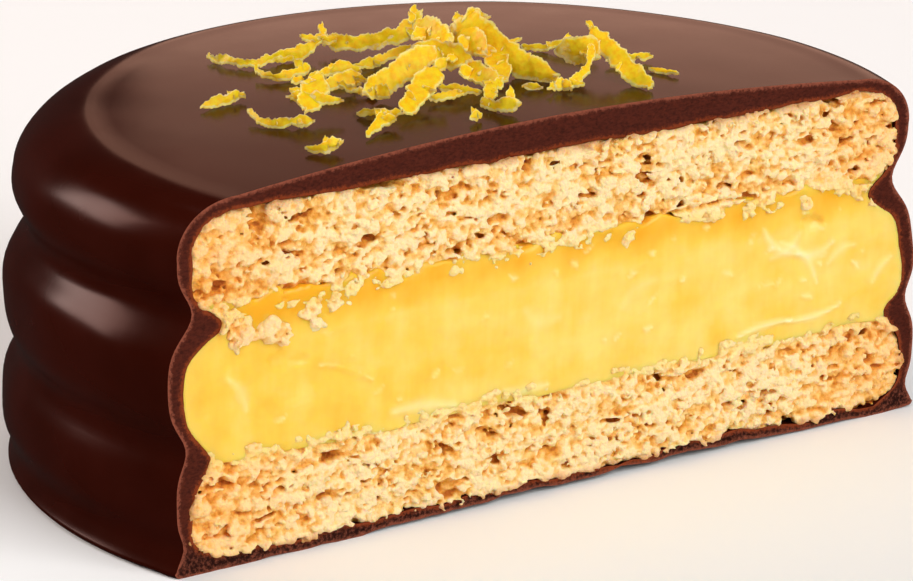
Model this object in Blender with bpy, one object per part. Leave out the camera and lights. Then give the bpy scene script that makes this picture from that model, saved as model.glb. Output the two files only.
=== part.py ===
"""Chocolate-coated alfajor, cut across: two biscuits, a lemon cream and a heap of lemon zest.

Frame: the disc's axis stands on the origin, +Z is up, the underside lies on Z = 0 and the cut
faces -Y. Each layer runs through the whole piece, inside a coat that is open at the cut.
"""

import math
from dataclasses import dataclass

import bmesh
import bpy
from mathutils import Vector

MM = 0.001

# Driving dimensions of the whole disc and of the cut.
WALL_RADIUS = 32.0 * MM  # of the coat's lower bulges
WALL_TAPER = 0.9 * MM  # how much smaller the wall is where the shoulder starts
CUT_OFFSET = 9.6 * MM  # from the axis to the cut, so more than half of the disc is left
COAT_CROWN = 26.4 * MM  # height of the coat on the axis
DOME_DROP = 1.6 * MM  # how far the top falls from the axis to the shoulder
DOME_RADIUS = 26.4 * MM  # where the top turns into the shoulder
SHOULDER_START = 20.9 * MM  # height at which the wall starts to turn in
FOOT_ROUNDING = 0.4 * MM
FLOOR_RADII = (0.0, 12.0 * MM, 22.0 * MM)  # rings on the underside
SEGMENTS = 60  # round the axis
GAP = 0.3 * MM  # left between pieces that touch
WELD = 0.01 * MM  # points closer than this are one
SHARP = math.radians(40.0)  # edges sharper than this aren't shaded smooth

# The space inside the coat, which the layers fill.
SIDE_COAT = 1.1 * MM
CAVITY_FLOOR = 1.2 * MM
CAVITY_CEILING = 23.9 * MM
FLOOR_CORNER = (2.2 * MM, 1.8 * MM)  # inwards and upwards
CEILING_CORNER = (3.1 * MM, 3.0 * MM)
CREAM_FLOOR = 7.5 * MM
CREAM_CEILING = 16.6 * MM
CAP_RADII = (0.0, 7.0 * MM, 14.0 * MM, 21.0 * MM)  # rings on the layers' flat sides
RUNG = 1.3 * MM  # height between two rings of a wall

# How far the poured coat and the stacked layers stray from a turned shape.
CREAM_SLIP = (-0.5 * MM, 0.4 * MM)  # of the middle of the stack, in X and Y
TOP_SLIP = (-0.8 * MM, -2.2 * MM)  # of the top of the stack
OUT_OF_ROUND = 0.2 * MM
GROOVE_DRIFT = 0.35 * MM  # up and down, round the disc
GROOVE_CHANGE = 0.35 * MM  # in and out, round the disc
LAYER_WAVE = 0.25 * MM
WAVE_LENGTHS = (4.5 * MM, 6.0 * MM)  # for one radian of the wave, in X and Y
GROOVE_TWIST = 3.4 * MM  # height in which the coat's three flats turn by one radian
ROUND_PHASE, DRIFT_PHASE, WAVE_PHASE = 0.6, 0.8, 1.0  # where the waves start, in radians

ZEST_THICKNESS = 0.45 * MM
ZEST_STATIONS = 6  # cross-sections along a shred
ZEST_TIP = 0.6  # width of a shred's ends, as a share of its middle


@dataclass(frozen=True)
class Groove:
    """A groove that runs round a wall where two layers meet."""

    height: float
    depth: float
    spread: float

    def depth_at(self, height: float) -> float:
        """How far the groove draws the wall in at a height."""
        return self.depth * math.exp(-(((height - self.height) / self.spread) ** 2))


COAT_GROOVES = (
    Groove(17.2 * MM, 1.4 * MM, 1.8 * MM),
    Groove(8.3 * MM, 0.9 * MM, 1.6 * MM),
    Groove(2.0 * MM, 0.9 * MM, 0.9 * MM),
)
CAVITY_GROOVES = (
    Groove(16.3 * MM, 2.4 * MM, 1.5 * MM),
    Groove(7.4 * MM, 2.2 * MM, 1.5 * MM),
)


@dataclass(frozen=True)
class Shred:
    """A shred of lemon peel: a ribbon that starts over the coat and runs on, leg after leg.

    The width and the start, (x, y, height above the coat), are in millimetres. The roll turns
    the ribbon about its route: 0 degrees lies flat and 90 stands on edge. The heading is in
    degrees counter-clockwise from +X. A leg has a length in millimetres, a turn to the left in
    degrees and a climb in millimetres.
    """

    width: float
    roll: float
    start: tuple[float, float, float]
    heading: float
    legs: tuple[tuple[float, float, float], ...]

    def point(self, along: float) -> Vector:
        """The point of the route that is a share of the way along it, in millimetres."""
        rest = along * sum(length for length, _, _ in self.legs)
        place, heading = Vector(self.start), math.radians(self.heading)
        for length, turn, climb in self.legs:
            share = min(1.0, max(0.0, rest / length))
            half_turn = 0.5 * share * math.radians(turn)
            chord = share * length * (math.sin(half_turn) / half_turn if half_turn else 1.0)
            heading += half_turn
            place += Vector((chord * math.cos(heading), chord * math.sin(heading), share * climb))
            heading += half_turn
            rest -= length
        return place


SHREDS = (
    Shred(0.8, 45, (-12, 16, 0.5), -88, ((3.5, 10, 0), (1.5, 75, 0), (3, -10, 0.2), (1.8, 0, 0.9))),
    Shred(1.1, 60, (-5.3, 12.3, 1), -75, ((2, 15, 0), (2, 30, 0.1), (2.2, 25, 0.4), (1.5, 10, 1.2))),
    Shred(0.7, 45, (-6.2, 6.5, 0.4), -15, ((2.1, 10, 0.2), (2.1, 0, 0.6))),
    Shred(0.6, 40, (-12.2, 9.5, 0.6), -95, ((1.5, 20, -0.1), (1.3, 75, 0), (2.2, 30, 0.2))),
    Shred(0.9, 50, (-10.6, 5.4, 0.6), 0, ((1.2, 0, 0.1), (1.4, -10, 0.2), (1.2, -50, -0.3))),
    Shred(1.0, 50, (-11.7, 3, 0.7), -12, ((1.2, 0, 0.1), (1.3, 5, 0.1))),
    Shred(1.9, 60, (-15.8, -0.8, 0.9), 35, ((1.2, 0, 0.4), (2, 15, 0.8))),
    Shred(0.5, 45, (-17.9, 1.7, 0.7), -95, ((1.8, 10, -0.3), (1, 40, 0), (2.2, 10, 0.1))),
    Shred(0.8, 45, (-18.7, -6.4, 0.4), -60, ((0.8, 15, 0), (0.8, 30, 0.2), (0.7, 10, 0.1))),
    Shred(0.6, 45, (-18.9, 5.6, 0.4), 10, ((1, -20, 0.1), (2, 15, 0.1))),
    Shred(1.8, 65, (-10.4, -0.6, 0.9), -3, ((1.2, 0, 0.2), (1.6, 5, 0.6), (1.8, 0, 0.7))),
    Shred(2.0, 60, (0.2, 3.8, 4), -80, ((1.8, 5, -0.6), (2.2, 5, -0.9), (2.2, 5, -1.1), (1.8, 10, -0.8))),
    Shred(1.7, -50, (-5.3, -1.9, 2), -150, ((1.6, 0, -0.3), (1.6, 5, -0.4), (2.7, -5, -0.6))),
    Shred(1.0, -45, (-11.3, -5.2, 0.9), -150, ((1, -10, -0.2), (2.5, 10, -0.4))),
    Shred(0.5, 30, (-12.1, -2.7, 0.4), -62, ((1.3, 10, 0),)),
    Shred(0.6, 45, (-5.7, -2.6, 0.6), -45, ((1, 5, -0.1), (1.7, 5, -0.2))),
    Shred(0.6, 45, (-7, -8, 0.4), 0, ((1, 0, 0),)),
    Shred(0.9, 45, (-4.6, -5.6, 0.5), -80, ((1.1, 5, 0), (1, 20, 0.2), (0.8, 30, 0.1))),
    Shred(0.8, 55, (1.8, -5.3, 0.5), -15, ((1.3, 20, 0), (1.5, 25, 0.5), (2, 20, 1.1))),
    Shred(0.6, 60, (6, 4.4, 0.4), -30, ((2.8, -5, 0.2), (2.5, 0, 0.6))),
    Shred(1.1, 60, (7.2, -2, 3), -93, ((1.4, 5, -0.7), (1.6, 5, -0.8), (3, 10, -1.1))),
    Shred(0.6, 45, (9, -1.6, 0.5), -5, ((1.3, 0, 0), (2.3, 10, 0))),
    Shred(1.8, 50, (-1.6, 6.4, 2.6), -95, ((1.6, 0, 0), (3, 0, -0.4))),
    Shred(1.4, 50, (-1.8, 0.4, 1.1), -83, ((1.4, 0, -0.2), (2, 5, -0.3))),
)


@dataclass(frozen=True)
class Finish:
    """A material's colour in linear light, and its roughness."""

    name: str
    colour: tuple[float, float, float]
    roughness: float

    def material(self) -> bpy.types.Material:
        """Makes the Principled material."""
        material = bpy.data.materials.new(self.name)
        material.use_nodes = True
        shader = material.node_tree.nodes["Principled BSDF"]
        shader.inputs["Base Color"].default_value = (*self.colour, 1.0)
        shader.inputs["Roughness"].default_value = self.roughness
        shader.inputs["Metallic"].default_value = 0.0
        return material


CHOCOLATE = Finish("dark_chocolate", (0.055, 0.020, 0.013), 0.3)
BISCUIT = Finish("baked_biscuit", (0.82, 0.58, 0.27), 0.9)
CREAM = Finish("lemon_curd_cream", (0.95, 0.68, 0.12), 0.45)
PEEL = Finish("lemon_peel", (0.95, 0.62, 0.02), 0.5)


def clear_scene() -> None:
    """Removes every object of the open scene."""
    for obj in list(bpy.data.objects):
        bpy.data.objects.remove(obj, do_unlink=True)


def add_object(name: str, bm: bmesh.types.BMesh, finish: Finish | None) -> bpy.types.Object:
    """Turns a bmesh into a smooth-shaded object of the scene."""
    mesh = bpy.data.meshes.new(name)
    bm.to_mesh(mesh)
    bm.free()
    mesh.shade_smooth()
    mesh.set_sharp_from_angle(angle=SHARP)
    if finish is not None:
        mesh.materials.append(bpy.data.materials.get(finish.name) or finish.material())
    obj = bpy.data.objects.new(name, mesh)
    bpy.context.scene.collection.objects.link(obj)
    return obj


def top_height(radius: float) -> float:
    """The height of the coat's domed top at a distance from the axis."""
    return COAT_CROWN - DOME_DROP * (radius / DOME_RADIUS) ** 2


def wall_radius(height: float) -> float:
    """The radius of the wall's bulges, which taper towards the shoulder."""
    return WALL_RADIUS - WALL_TAPER * (min(height, SHOULDER_START) / SHOULDER_START) ** 3


def arc(
    centre: tuple[float, float], reach: tuple[float, float], start: float, end: float, steps: int
) -> list[tuple[float, float]]:
    """Points (radius, height) on an ellipse, from one angle to another in degrees."""
    points = []
    for i in range(steps + 1):
        angle = math.radians(start + (end - start) * i / steps)
        points.append((centre[0] + reach[0] * math.cos(angle), centre[1] + reach[1] * math.sin(angle)))
    return points


def rungs(low: float, high: float) -> list[float]:
    """Heights of the rings of a wall, both ends among them."""
    steps = max(1, round((high - low) / RUNG))
    return [low + (high - low) * i / steps for i in range(steps + 1)]


def coat_profile() -> list[tuple[float, float]]:
    """The coat's outside, from the middle of the underside to the crown."""
    points = [(radius, 0.0) for radius in FLOOR_RADII]
    points += arc((WALL_RADIUS - FOOT_ROUNDING, FOOT_ROUNDING), (FOOT_ROUNDING,) * 2, -90, -30, 2)
    for height in rungs(FOOT_ROUNDING, SHOULDER_START):
        drawn_in = sum(groove.depth_at(height) for groove in COAT_GROOVES)
        points.append((wall_radius(height) - drawn_in, height))
    shoulder_top = COAT_CROWN - DOME_DROP
    reach = (wall_radius(SHOULDER_START) - DOME_RADIUS, shoulder_top - SHOULDER_START)
    points += arc((DOME_RADIUS, SHOULDER_START), reach, 12, 90, 6)
    for i in range(1, 5):
        radius = DOME_RADIUS * (1 - i / 4)
        points.append((radius, top_height(radius)))
    return points


def cavity_radius(height: float) -> float:
    """The radius of the space inside the coat, its corners rounded."""
    radius = wall_radius(height) - SIDE_COAT
    radius -= sum(groove.depth_at(height) for groove in CAVITY_GROOVES)
    below = max(0.0, (CAVITY_FLOOR + FLOOR_CORNER[1] - height) / FLOOR_CORNER[1])
    above = max(0.0, (height - CAVITY_CEILING + CEILING_CORNER[1]) / CEILING_CORNER[1])
    radius -= FLOOR_CORNER[0] * (1 - math.sqrt(max(0.0, 1 - below**2)))
    radius -= CEILING_CORNER[0] * (1 - math.sqrt(max(0.0, 1 - above**2)))
    return radius


LAYER_LIMITS = (
    (CAVITY_FLOOR + GAP, CREAM_FLOOR - GAP / 2),
    (CREAM_FLOOR + GAP / 2, CREAM_CEILING - GAP / 2),
    (CREAM_CEILING + GAP / 2, CAVITY_CEILING - GAP),
)


def layer_profile(low: float, high: float) -> list[tuple[float, float]]:
    """One layer's outside, from the middle of its lower face to the middle of its upper face."""
    wall = []
    for height in rungs(low, high):
        narrowest = min(cavity_radius(height + shift) for shift in (-GAP, 0.0, GAP))
        wall.append((narrowest - GAP, height))
    lower = [(radius, low) for radius in CAP_RADII]
    upper = [(radius, high) for radius in reversed(CAP_RADII)]
    return lower + wall + upper


def cavity_profile() -> list[tuple[float, float]]:
    """The inside of the coat: its rings lie level with those of the layers, a gap further out."""
    heights = [height for low, high in LAYER_LIMITS for height in rungs(low, high)]
    heights = [CAVITY_FLOOR] + heights + [CAVITY_CEILING]
    wall = [(cavity_radius(height), height) for height in heights]
    lower = [(radius, CAVITY_FLOOR) for radius in CAP_RADII]
    upper = [(radius, CAVITY_CEILING) for radius in reversed(CAP_RADII)]
    return lower + wall + upper


def slip(height: float) -> Vector:
    """How far the stack has slipped sideways at a height: a parabola through foot, cream and top."""
    up = height / COAT_CROWN
    cream, top = Vector((*CREAM_SLIP, 0.0)), Vector((*TOP_SLIP, 0.0))
    return 4 * up * (1 - up) * cream + up * (2 * up - 1) * top


def settle(point: Vector) -> Vector:
    """Moves a point of the turned shape to where the poured and stacked cookie has it."""
    radius = math.hypot(point.x, point.y)
    angle = math.atan2(point.y, point.x)
    rim = (radius / WALL_RADIUS) ** 2
    middle = 4 * point.z * (COAT_CROWN - point.z) / COAT_CROWN**2  # 0 below and on top
    outwards = OUT_OF_ROUND * math.cos(2 * angle + ROUND_PHASE)
    outwards += GROOVE_CHANGE * middle * math.sin(3 * angle + point.z / GROOVE_TWIST)
    up = GROOVE_DRIFT * rim * math.sin(2 * angle + DRIFT_PHASE)
    wave_x, wave_y = point.x / WAVE_LENGTHS[0], point.y / WAVE_LENGTHS[1]
    up += LAYER_WAVE * math.sin(wave_x + WAVE_PHASE) * math.cos(wave_y)
    scale = 1 + rim * outwards / WALL_RADIUS
    settled = Vector((point.x * scale, point.y * scale, point.z + max(0.0, middle) * up))
    return settled + slip(point.z)


def turned(profile: list[tuple[float, float]]) -> bmesh.types.BMesh:
    """Turns a profile of (radius, height) about the axis into a closed body, then settles it."""
    bm = bmesh.new()
    verts = [bm.verts.new((radius, 0.0, height)) for radius, height in profile]
    edges = [bm.edges.new(pair) for pair in zip(verts, verts[1:])]
    bmesh.ops.spin(
        bm,
        geom=verts + edges,
        cent=(0.0, 0.0, 0.0),
        axis=(0.0, 0.0, 1.0),
        angle=math.tau,
        steps=SEGMENTS,
        use_merge=True,
    )
    bmesh.ops.remove_doubles(bm, verts=bm.verts, dist=WELD)
    bmesh.ops.recalc_face_normals(bm, faces=bm.faces)
    for vert in bm.verts:
        vert.co = settle(vert.co)
    return bm


def cut_across(bm: bmesh.types.BMesh) -> None:
    """Takes away what lies in front of the cut and closes the cut face."""
    bmesh.ops.bisect_plane(
        bm,
        geom=[*bm.verts, *bm.edges, *bm.faces],
        dist=0.1 * WELD,
        plane_co=(0.0, -CUT_OFFSET, 0.0),
        plane_no=(0.0, -1.0, 0.0),
        clear_outer=True,
    )
    rim = [edge for edge in bm.edges if edge.is_boundary]
    bmesh.ops.holes_fill(bm, edges=rim, sides=0)


def add_layer(name: str, limits: tuple[float, float], finish: Finish) -> None:
    """Adds a layer that runs through the cookie, with its face at the cut."""
    bm = turned(layer_profile(*limits))
    cut_across(bm)
    add_object(name, bm, finish)


def add_coat() -> None:
    """Adds the chocolate coat: the outer body, hollowed where the layers lie."""
    cavity = add_object("cavity_cutter", turned(cavity_profile()), None)
    cavity.hide_render = True
    cavity.display_type = "WIRE"
    bm = turned(coat_profile())
    cut_across(bm)
    coat = add_object("chocolate_coat", bm, CHOCOLATE)
    hollow = coat.modifiers.new("hollow", "BOOLEAN")
    hollow.operation = "DIFFERENCE"
    hollow.solver = "EXACT"
    hollow.object = cavity


def route_point(shred: Shred, along: float) -> Vector:
    """A point of a shred's route, raised where needed so that its lower edge clears the coat."""
    point = shred.point(along) * MM
    roll = math.radians(shred.roll)
    reach = 0.5 * shred.width * MM * abs(math.sin(roll)) + 0.5 * ZEST_THICKNESS * math.cos(roll)
    from_crown = point.xy - slip(COAT_CROWN).xy
    point.z = max(point.z, reach + GAP) + top_height(from_crown.length)
    return point


def add_shred(name: str, shred: Shred) -> None:
    """Adds a shred: a bar cut into stations, then laid along its route."""
    bm = bmesh.new()
    bmesh.ops.create_cube(bm, size=1.0)
    lengthwise = [edge for edge in bm.edges if abs(edge.verts[0].co.x - edge.verts[1].co.x) > 0.5]
    bmesh.ops.subdivide_edges(bm, edges=lengthwise, cuts=ZEST_STATIONS - 2, use_grid_fill=True)
    step = 0.5 / ZEST_STATIONS
    for vert in bm.verts:
        along = vert.co.x + 0.5
        centre = route_point(shred, along)
        behind = route_point(shred, max(0.0, along - step))
        ahead = route_point(shred, min(1.0, along + step))
        forward = (ahead - behind).normalized()
        level = Vector((0.0, 0.0, 1.0)).cross(forward).normalized()
        upright = forward.cross(level)
        roll = math.radians(shred.roll)
        side = level * math.cos(roll) + upright * math.sin(roll)
        normal = forward.cross(side)
        taper = ZEST_TIP + (1 - ZEST_TIP) * math.sin(math.pi * along)
        across = vert.co.y * shred.width * MM * taper
        vert.co = centre + side * across + normal * vert.co.z * ZEST_THICKNESS
    add_object(name, bm, PEEL)


def main() -> None:
    """Builds the cookie."""
    clear_scene()
    add_coat()
    add_layer("bottom_biscuit", LAYER_LIMITS[0], BISCUIT)
    add_layer("lemon_cream", LAYER_LIMITS[1], CREAM)
    add_layer("top_biscuit", LAYER_LIMITS[2], BISCUIT)
    for number, shred in enumerate(SHREDS, start=1):
        add_shred(f"zest_{number:02d}", shred)


main()
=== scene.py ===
"""Looks of a chocolate-coated alfajor, cut across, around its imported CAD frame.

Frame: metres, the disc's axis stands on the origin, +Z is up and the cut faces -Y. The coat is a
turned shell with a cut band, the biscuits and the cream are bodies whose surface is redrawn from
a field, and the zest is made of ragged ribbons.
"""

import logging
import math
import random
from dataclasses import dataclass, field
from enum import Enum

import bmesh
import bpy
import numpy as np
from mathutils import Matrix, Vector, noise
from mathutils.bvhtree import BVHTree


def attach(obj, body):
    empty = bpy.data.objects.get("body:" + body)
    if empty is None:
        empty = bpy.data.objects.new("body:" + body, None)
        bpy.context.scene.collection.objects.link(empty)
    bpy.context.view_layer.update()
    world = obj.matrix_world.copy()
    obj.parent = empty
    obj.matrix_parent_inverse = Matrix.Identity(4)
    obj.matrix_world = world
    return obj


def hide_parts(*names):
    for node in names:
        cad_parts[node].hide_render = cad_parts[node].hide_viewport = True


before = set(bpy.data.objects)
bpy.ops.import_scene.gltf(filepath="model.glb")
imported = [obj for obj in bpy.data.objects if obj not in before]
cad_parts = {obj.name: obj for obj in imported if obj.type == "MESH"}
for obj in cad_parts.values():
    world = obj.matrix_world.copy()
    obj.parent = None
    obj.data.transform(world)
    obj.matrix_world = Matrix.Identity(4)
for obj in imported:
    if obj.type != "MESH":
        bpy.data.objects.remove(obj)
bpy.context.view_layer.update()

MM = 0.001
CUT_Y = -9.6 * MM  # the plane of the cut

log = logging.getLogger("alfajor")


# --------------------------------------------------------------------------- small helpers


def linear(colour: str) -> tuple[float, float, float, float]:
    """Turns an sRGB hex colour into linear light.

    Args:
        colour: six hex digits, with or without a leading #.

    Returns:
        Red, green, blue and an alpha of 1.
    """
    digits = colour.lstrip("#")
    channels = [int(digits[i : i + 2], 16) / 255 for i in (0, 2, 4)]
    lit = [c / 12.92 if c <= 0.04045 else ((c + 0.055) / 1.055) ** 2.4 for c in channels]
    return (*lit, 1.0)


def add_node(
    tree: bpy.types.NodeTree, kind: str, inputs: dict | None = None, **settings
) -> bpy.types.Node:
    """Adds a node with its settings and links.

    Args:
        tree: the node tree.
        kind: the node's type name.
        inputs: value, socket or node for each input, by the input's name or index. A node
            stands for its first output.
        settings: the node's properties. "stops" holds (position, colour) pairs of a ramp.

    Returns:
        The new node.
    """
    node = tree.nodes.new(kind)
    stops = settings.pop("stops", None)
    for name, value in settings.items():
        setattr(node, name, value)
    if stops is not None:
        ramp = node.color_ramp
        while len(ramp.elements) < len(stops):
            ramp.elements.new(1.0)
        for element, (position, colour) in zip(ramp.elements, stops):
            element.position, element.color = position, colour
    for key, value in (inputs or {}).items():
        if isinstance(key, str):
            socket = next(s for s in node.inputs if s.enabled and s.name == key)
        else:
            socket = node.inputs[key]
        if isinstance(value, bpy.types.Node):
            value = next(s for s in value.outputs if s.enabled)
        if isinstance(value, bpy.types.NodeSocket):
            tree.links.new(value, socket)
        else:
            socket.default_value = value
    return node


def add_piece(name: str, bm: bmesh.types.BMesh, materials: list[bpy.types.Material]) -> bpy.types.Object:
    """Turns a bmesh into a smooth-shaded object at the origin.

    Args:
        name: the piece's name.
        bm: its shape, which is freed.
        materials: its material slots.

    Returns:
        The new object.
    """
    mesh = bpy.data.meshes.new(name)
    bm.to_mesh(mesh)
    bm.free()
    mesh.shade_smooth()
    for material in materials:
        mesh.materials.append(material)
    piece = bpy.data.objects.new(name, mesh)
    bpy.context.scene.collection.objects.link(piece)
    return piece


def store_attribute(mesh: bpy.types.Mesh, name: str, values: list[float]) -> None:
    """Keeps one number for each vertex under a name that a material can read."""
    attribute = mesh.attributes.new(name, "FLOAT", "POINT")
    attribute.data.foreach_set("value", values)


def relief(mesh: bpy.types.Mesh, rounds: int) -> list[float]:
    """How far each vertex stands out of its own blurred surroundings.

    Args:
        mesh: the mesh.
        rounds: how often the surface is blurred. Each round reaches one edge further.

    Returns:
        The distances in millimetres, below 0 in a cleft.
    """
    count = len(mesh.vertices)
    places, normals = np.empty(3 * count), np.empty(3 * count)
    mesh.vertices.foreach_get("co", places)
    mesh.vertex_normals.foreach_get("vector", normals)
    places, normals = places.reshape(-1, 3), normals.reshape(-1, 3)
    ends = np.empty(2 * len(mesh.edges), dtype=np.int32)
    mesh.edges.foreach_get("vertices", ends)
    first, second = ends.reshape(-1, 2).T
    links = np.bincount(first, minlength=count) + np.bincount(second, minlength=count)
    blurred = places.copy()
    for _ in range(rounds):
        around = np.stack(
            [
                np.bincount(first, blurred[second, axis], count)
                + np.bincount(second, blurred[first, axis], count)
                for axis in range(3)
            ],
            axis=1,
        )
        blurred = 0.5 * (blurred + around / np.maximum(links, 1)[:, None])
    return (((places - blurred) * normals).sum(axis=1) / MM).tolist()


def drop_dust(bm: bmesh.types.BMesh, least: int) -> None:
    """Deletes the parts of a mesh that hang together by fewer than a number of vertices."""
    seen, dust = set(), []
    for seed in bm.verts:
        if seed in seen:
            continue
        seen.add(seed)
        island, row = [], [seed]
        while row:
            vert = row.pop()
            island.append(vert)
            beside = [edge.other_vert(vert) for edge in vert.link_edges]
            fresh = [other for other in beside if other not in seen]
            seen.update(fresh)
            row += dict.fromkeys(fresh)
        if len(island) < least:
            dust += island
    bmesh.ops.delete(bm, geom=dust, context="VERTS")


def drift(point: Vector, size: float, seed: float = 0.0) -> float:
    """Smooth noise from about -1 to 1 that changes over a size in metres."""
    return noise.noise(point / size + Vector((seed, seed * 1.7, -seed)))


# --------------------------------------------------------------------------- the form


@dataclass(frozen=True)
class Groove:
    """A groove that runs round a wall where two layers meet."""

    height: float
    depth: float
    spread: float

    def depth_at(self, height: float) -> float:
        """How far the groove draws the wall in at a height."""
        return self.depth * math.exp(-(((height - self.height) / self.spread) ** 2))


@dataclass(frozen=True)
class DiscForm:
    """The turned shape of the whole disc, and how far the poured coat strays from it."""

    wall: float = 32.0 * MM
    taper: float = 0.9 * MM
    crown: float = 26.4 * MM
    dome_drop: float = 1.6 * MM
    dome_radius: float = 26.4 * MM
    shoulder: float = 20.9 * MM
    foot: float = 0.4 * MM
    side_coat: float = 1.1 * MM
    floor: float = 0.8 * MM
    ceiling: float = 23.9 * MM
    floor_corner: tuple[float, float] = (2.2 * MM, 1.8 * MM)
    ceiling_corner: tuple[float, float] = (3.1 * MM, 3.0 * MM)
    cream_slip: tuple[float, float] = (-0.5 * MM, 0.4 * MM)
    top_slip: tuple[float, float] = (-0.8 * MM, -2.2 * MM)
    outer_grooves: tuple[Groove, ...] = (
        Groove(17.2 * MM, 1.4 * MM, 1.8 * MM),
        Groove(8.3 * MM, 0.9 * MM, 1.6 * MM),
        Groove(1.8 * MM, 0.55 * MM, 1.1 * MM),
    )
    inner_grooves: tuple[Groove, ...] = (
        Groove(16.3 * MM, 2.4 * MM, 1.5 * MM),
        Groove(7.4 * MM, 1.5 * MM, 1.5 * MM),
    )

    def top_height(self, radius: float) -> float:
        """The height of the domed top at a distance from the axis."""
        return self.crown - self.dome_drop * (radius / self.dome_radius) ** 2

    def wall_radius(self, height: float) -> float:
        """The radius of the wall's bulges, which taper towards the shoulder."""
        return self.wall - self.taper * (min(height, self.shoulder) / self.shoulder) ** 3

    def outer_radius(self, height: float) -> float:
        """The radius of the coat's wall with its grooves."""
        return self.wall_radius(height) - sum(g.depth_at(height) for g in self.outer_grooves)

    def inner_radius(self, height: float) -> float:
        """The radius of the space inside the coat, its corners rounded."""
        radius = self.wall_radius(height) - self.side_coat
        radius -= sum(groove.depth_at(height) for groove in self.inner_grooves)
        below = max(0.0, (self.floor + self.floor_corner[1] - height) / self.floor_corner[1])
        above = (height - self.ceiling + self.ceiling_corner[1]) / self.ceiling_corner[1]
        radius -= self.floor_corner[0] * (1 - math.sqrt(max(0.0, 1 - min(1.0, below) ** 2)))
        above = min(1.0, max(0.0, above))
        return radius - self.ceiling_corner[0] * (1 - math.sqrt(1 - above**2))

    def slip(self, height: float) -> Vector:
        """How far the stack has slipped sideways at a height."""
        up = height / self.crown
        cream, top = Vector((*self.cream_slip, 0.0)), Vector((*self.top_slip, 0.0))
        return 4 * up * (1 - up) * cream + up * (2 * up - 1) * top

    def settle(self, point: Vector) -> Vector:
        """Moves a point of the turned shape to where the stacked and coated cookie has it.

        Args:
            point: a point of the turned shape.

        Returns:
            The point after the waves of the coat and the slip of the stack.
        """
        angle = math.atan2(point.y, point.x)
        rim = (math.hypot(point.x, point.y) / self.wall) ** 2
        middle = max(0.0, 4 * point.z * (self.crown - point.z) / self.crown**2)
        outwards = 0.2 * MM * math.cos(2 * angle + 0.6)
        outwards += 0.35 * MM * middle * math.sin(3 * angle + point.z / (3.4 * MM))
        outwards += 0.26 * MM * min(1.0, 2 * middle) * drift(point, 6.5 * MM, 3.1)
        up = 0.35 * MM * rim * math.sin(2 * angle + 0.8)
        up += 0.25 * MM * math.sin(point.x / (4.5 * MM) + 1.0) * math.cos(point.y / (6.0 * MM))
        near_cut = min(1.0, max(0.0, (-point.y - 5.5 * MM) / (4.1 * MM)))
        span = math.exp(-(((point.x - 6 * MM) / (15 * MM)) ** 4))
        low = max(0.0, 1 - point.z / (2.5 * MM))
        lift = 0.45 * MM * near_cut**2 * (span + 0.7 * drift(point, 2.6 * MM, 6.0)) * low
        scale = 1 + rim * outwards / self.wall
        settled = Vector((point.x * scale, point.y * scale, point.z + middle * up + lift))
        return settled + self.slip(point.z)

    def turned(self, profile: list[tuple[float, float]], segments: int) -> bmesh.types.BMesh:
        """Turns a profile about the axis into a closed body, then settles it.

        Args:
            profile: (radius, height) points from the lower pole to the upper one.
            segments: steps round the axis.

        Returns:
            The closed body, facing outwards.
        """
        bm = bmesh.new()
        verts = [bm.verts.new((radius, 0.0, height)) for radius, height in profile]
        edges = [bm.edges.new(pair) for pair in zip(verts, verts[1:])]
        bmesh.ops.spin(
            bm,
            geom=verts + edges,
            cent=(0.0, 0.0, 0.0),
            axis=(0.0, 0.0, 1.0),
            angle=math.tau,
            steps=segments,
            use_merge=True,
        )
        bmesh.ops.remove_doubles(bm, verts=bm.verts, dist=0.005 * MM)
        bmesh.ops.recalc_face_normals(bm, faces=bm.faces)
        for vert in bm.verts:
            vert.co = self.settle(vert.co)
        return bm


def spread(low: float, high: float, step: float) -> list[float]:
    """Even values from one number to another, both among them, about a step apart."""
    count = max(1, round((high - low) / step))
    return [low + (high - low) * i / count for i in range(count + 1)]


def elbow(
    centre: tuple[float, float], reach: tuple[float, float], start: float, end: float, steps: int
) -> list[tuple[float, float]]:
    """Points (radius, height) on an ellipse.

    Args:
        centre: the ellipse's middle.
        reach: its half sizes.
        start: first angle in degrees.
        end: last angle in degrees.
        steps: number of spans.

    Returns:
        The points, both ends among them.
    """
    angles = [math.radians(start + (end - start) * i / steps) for i in range(steps + 1)]
    return [(centre[0] + reach[0] * math.cos(a), centre[1] + reach[1] * math.sin(a)) for a in angles]


# --------------------------------------------------------------------------- finishes


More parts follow.
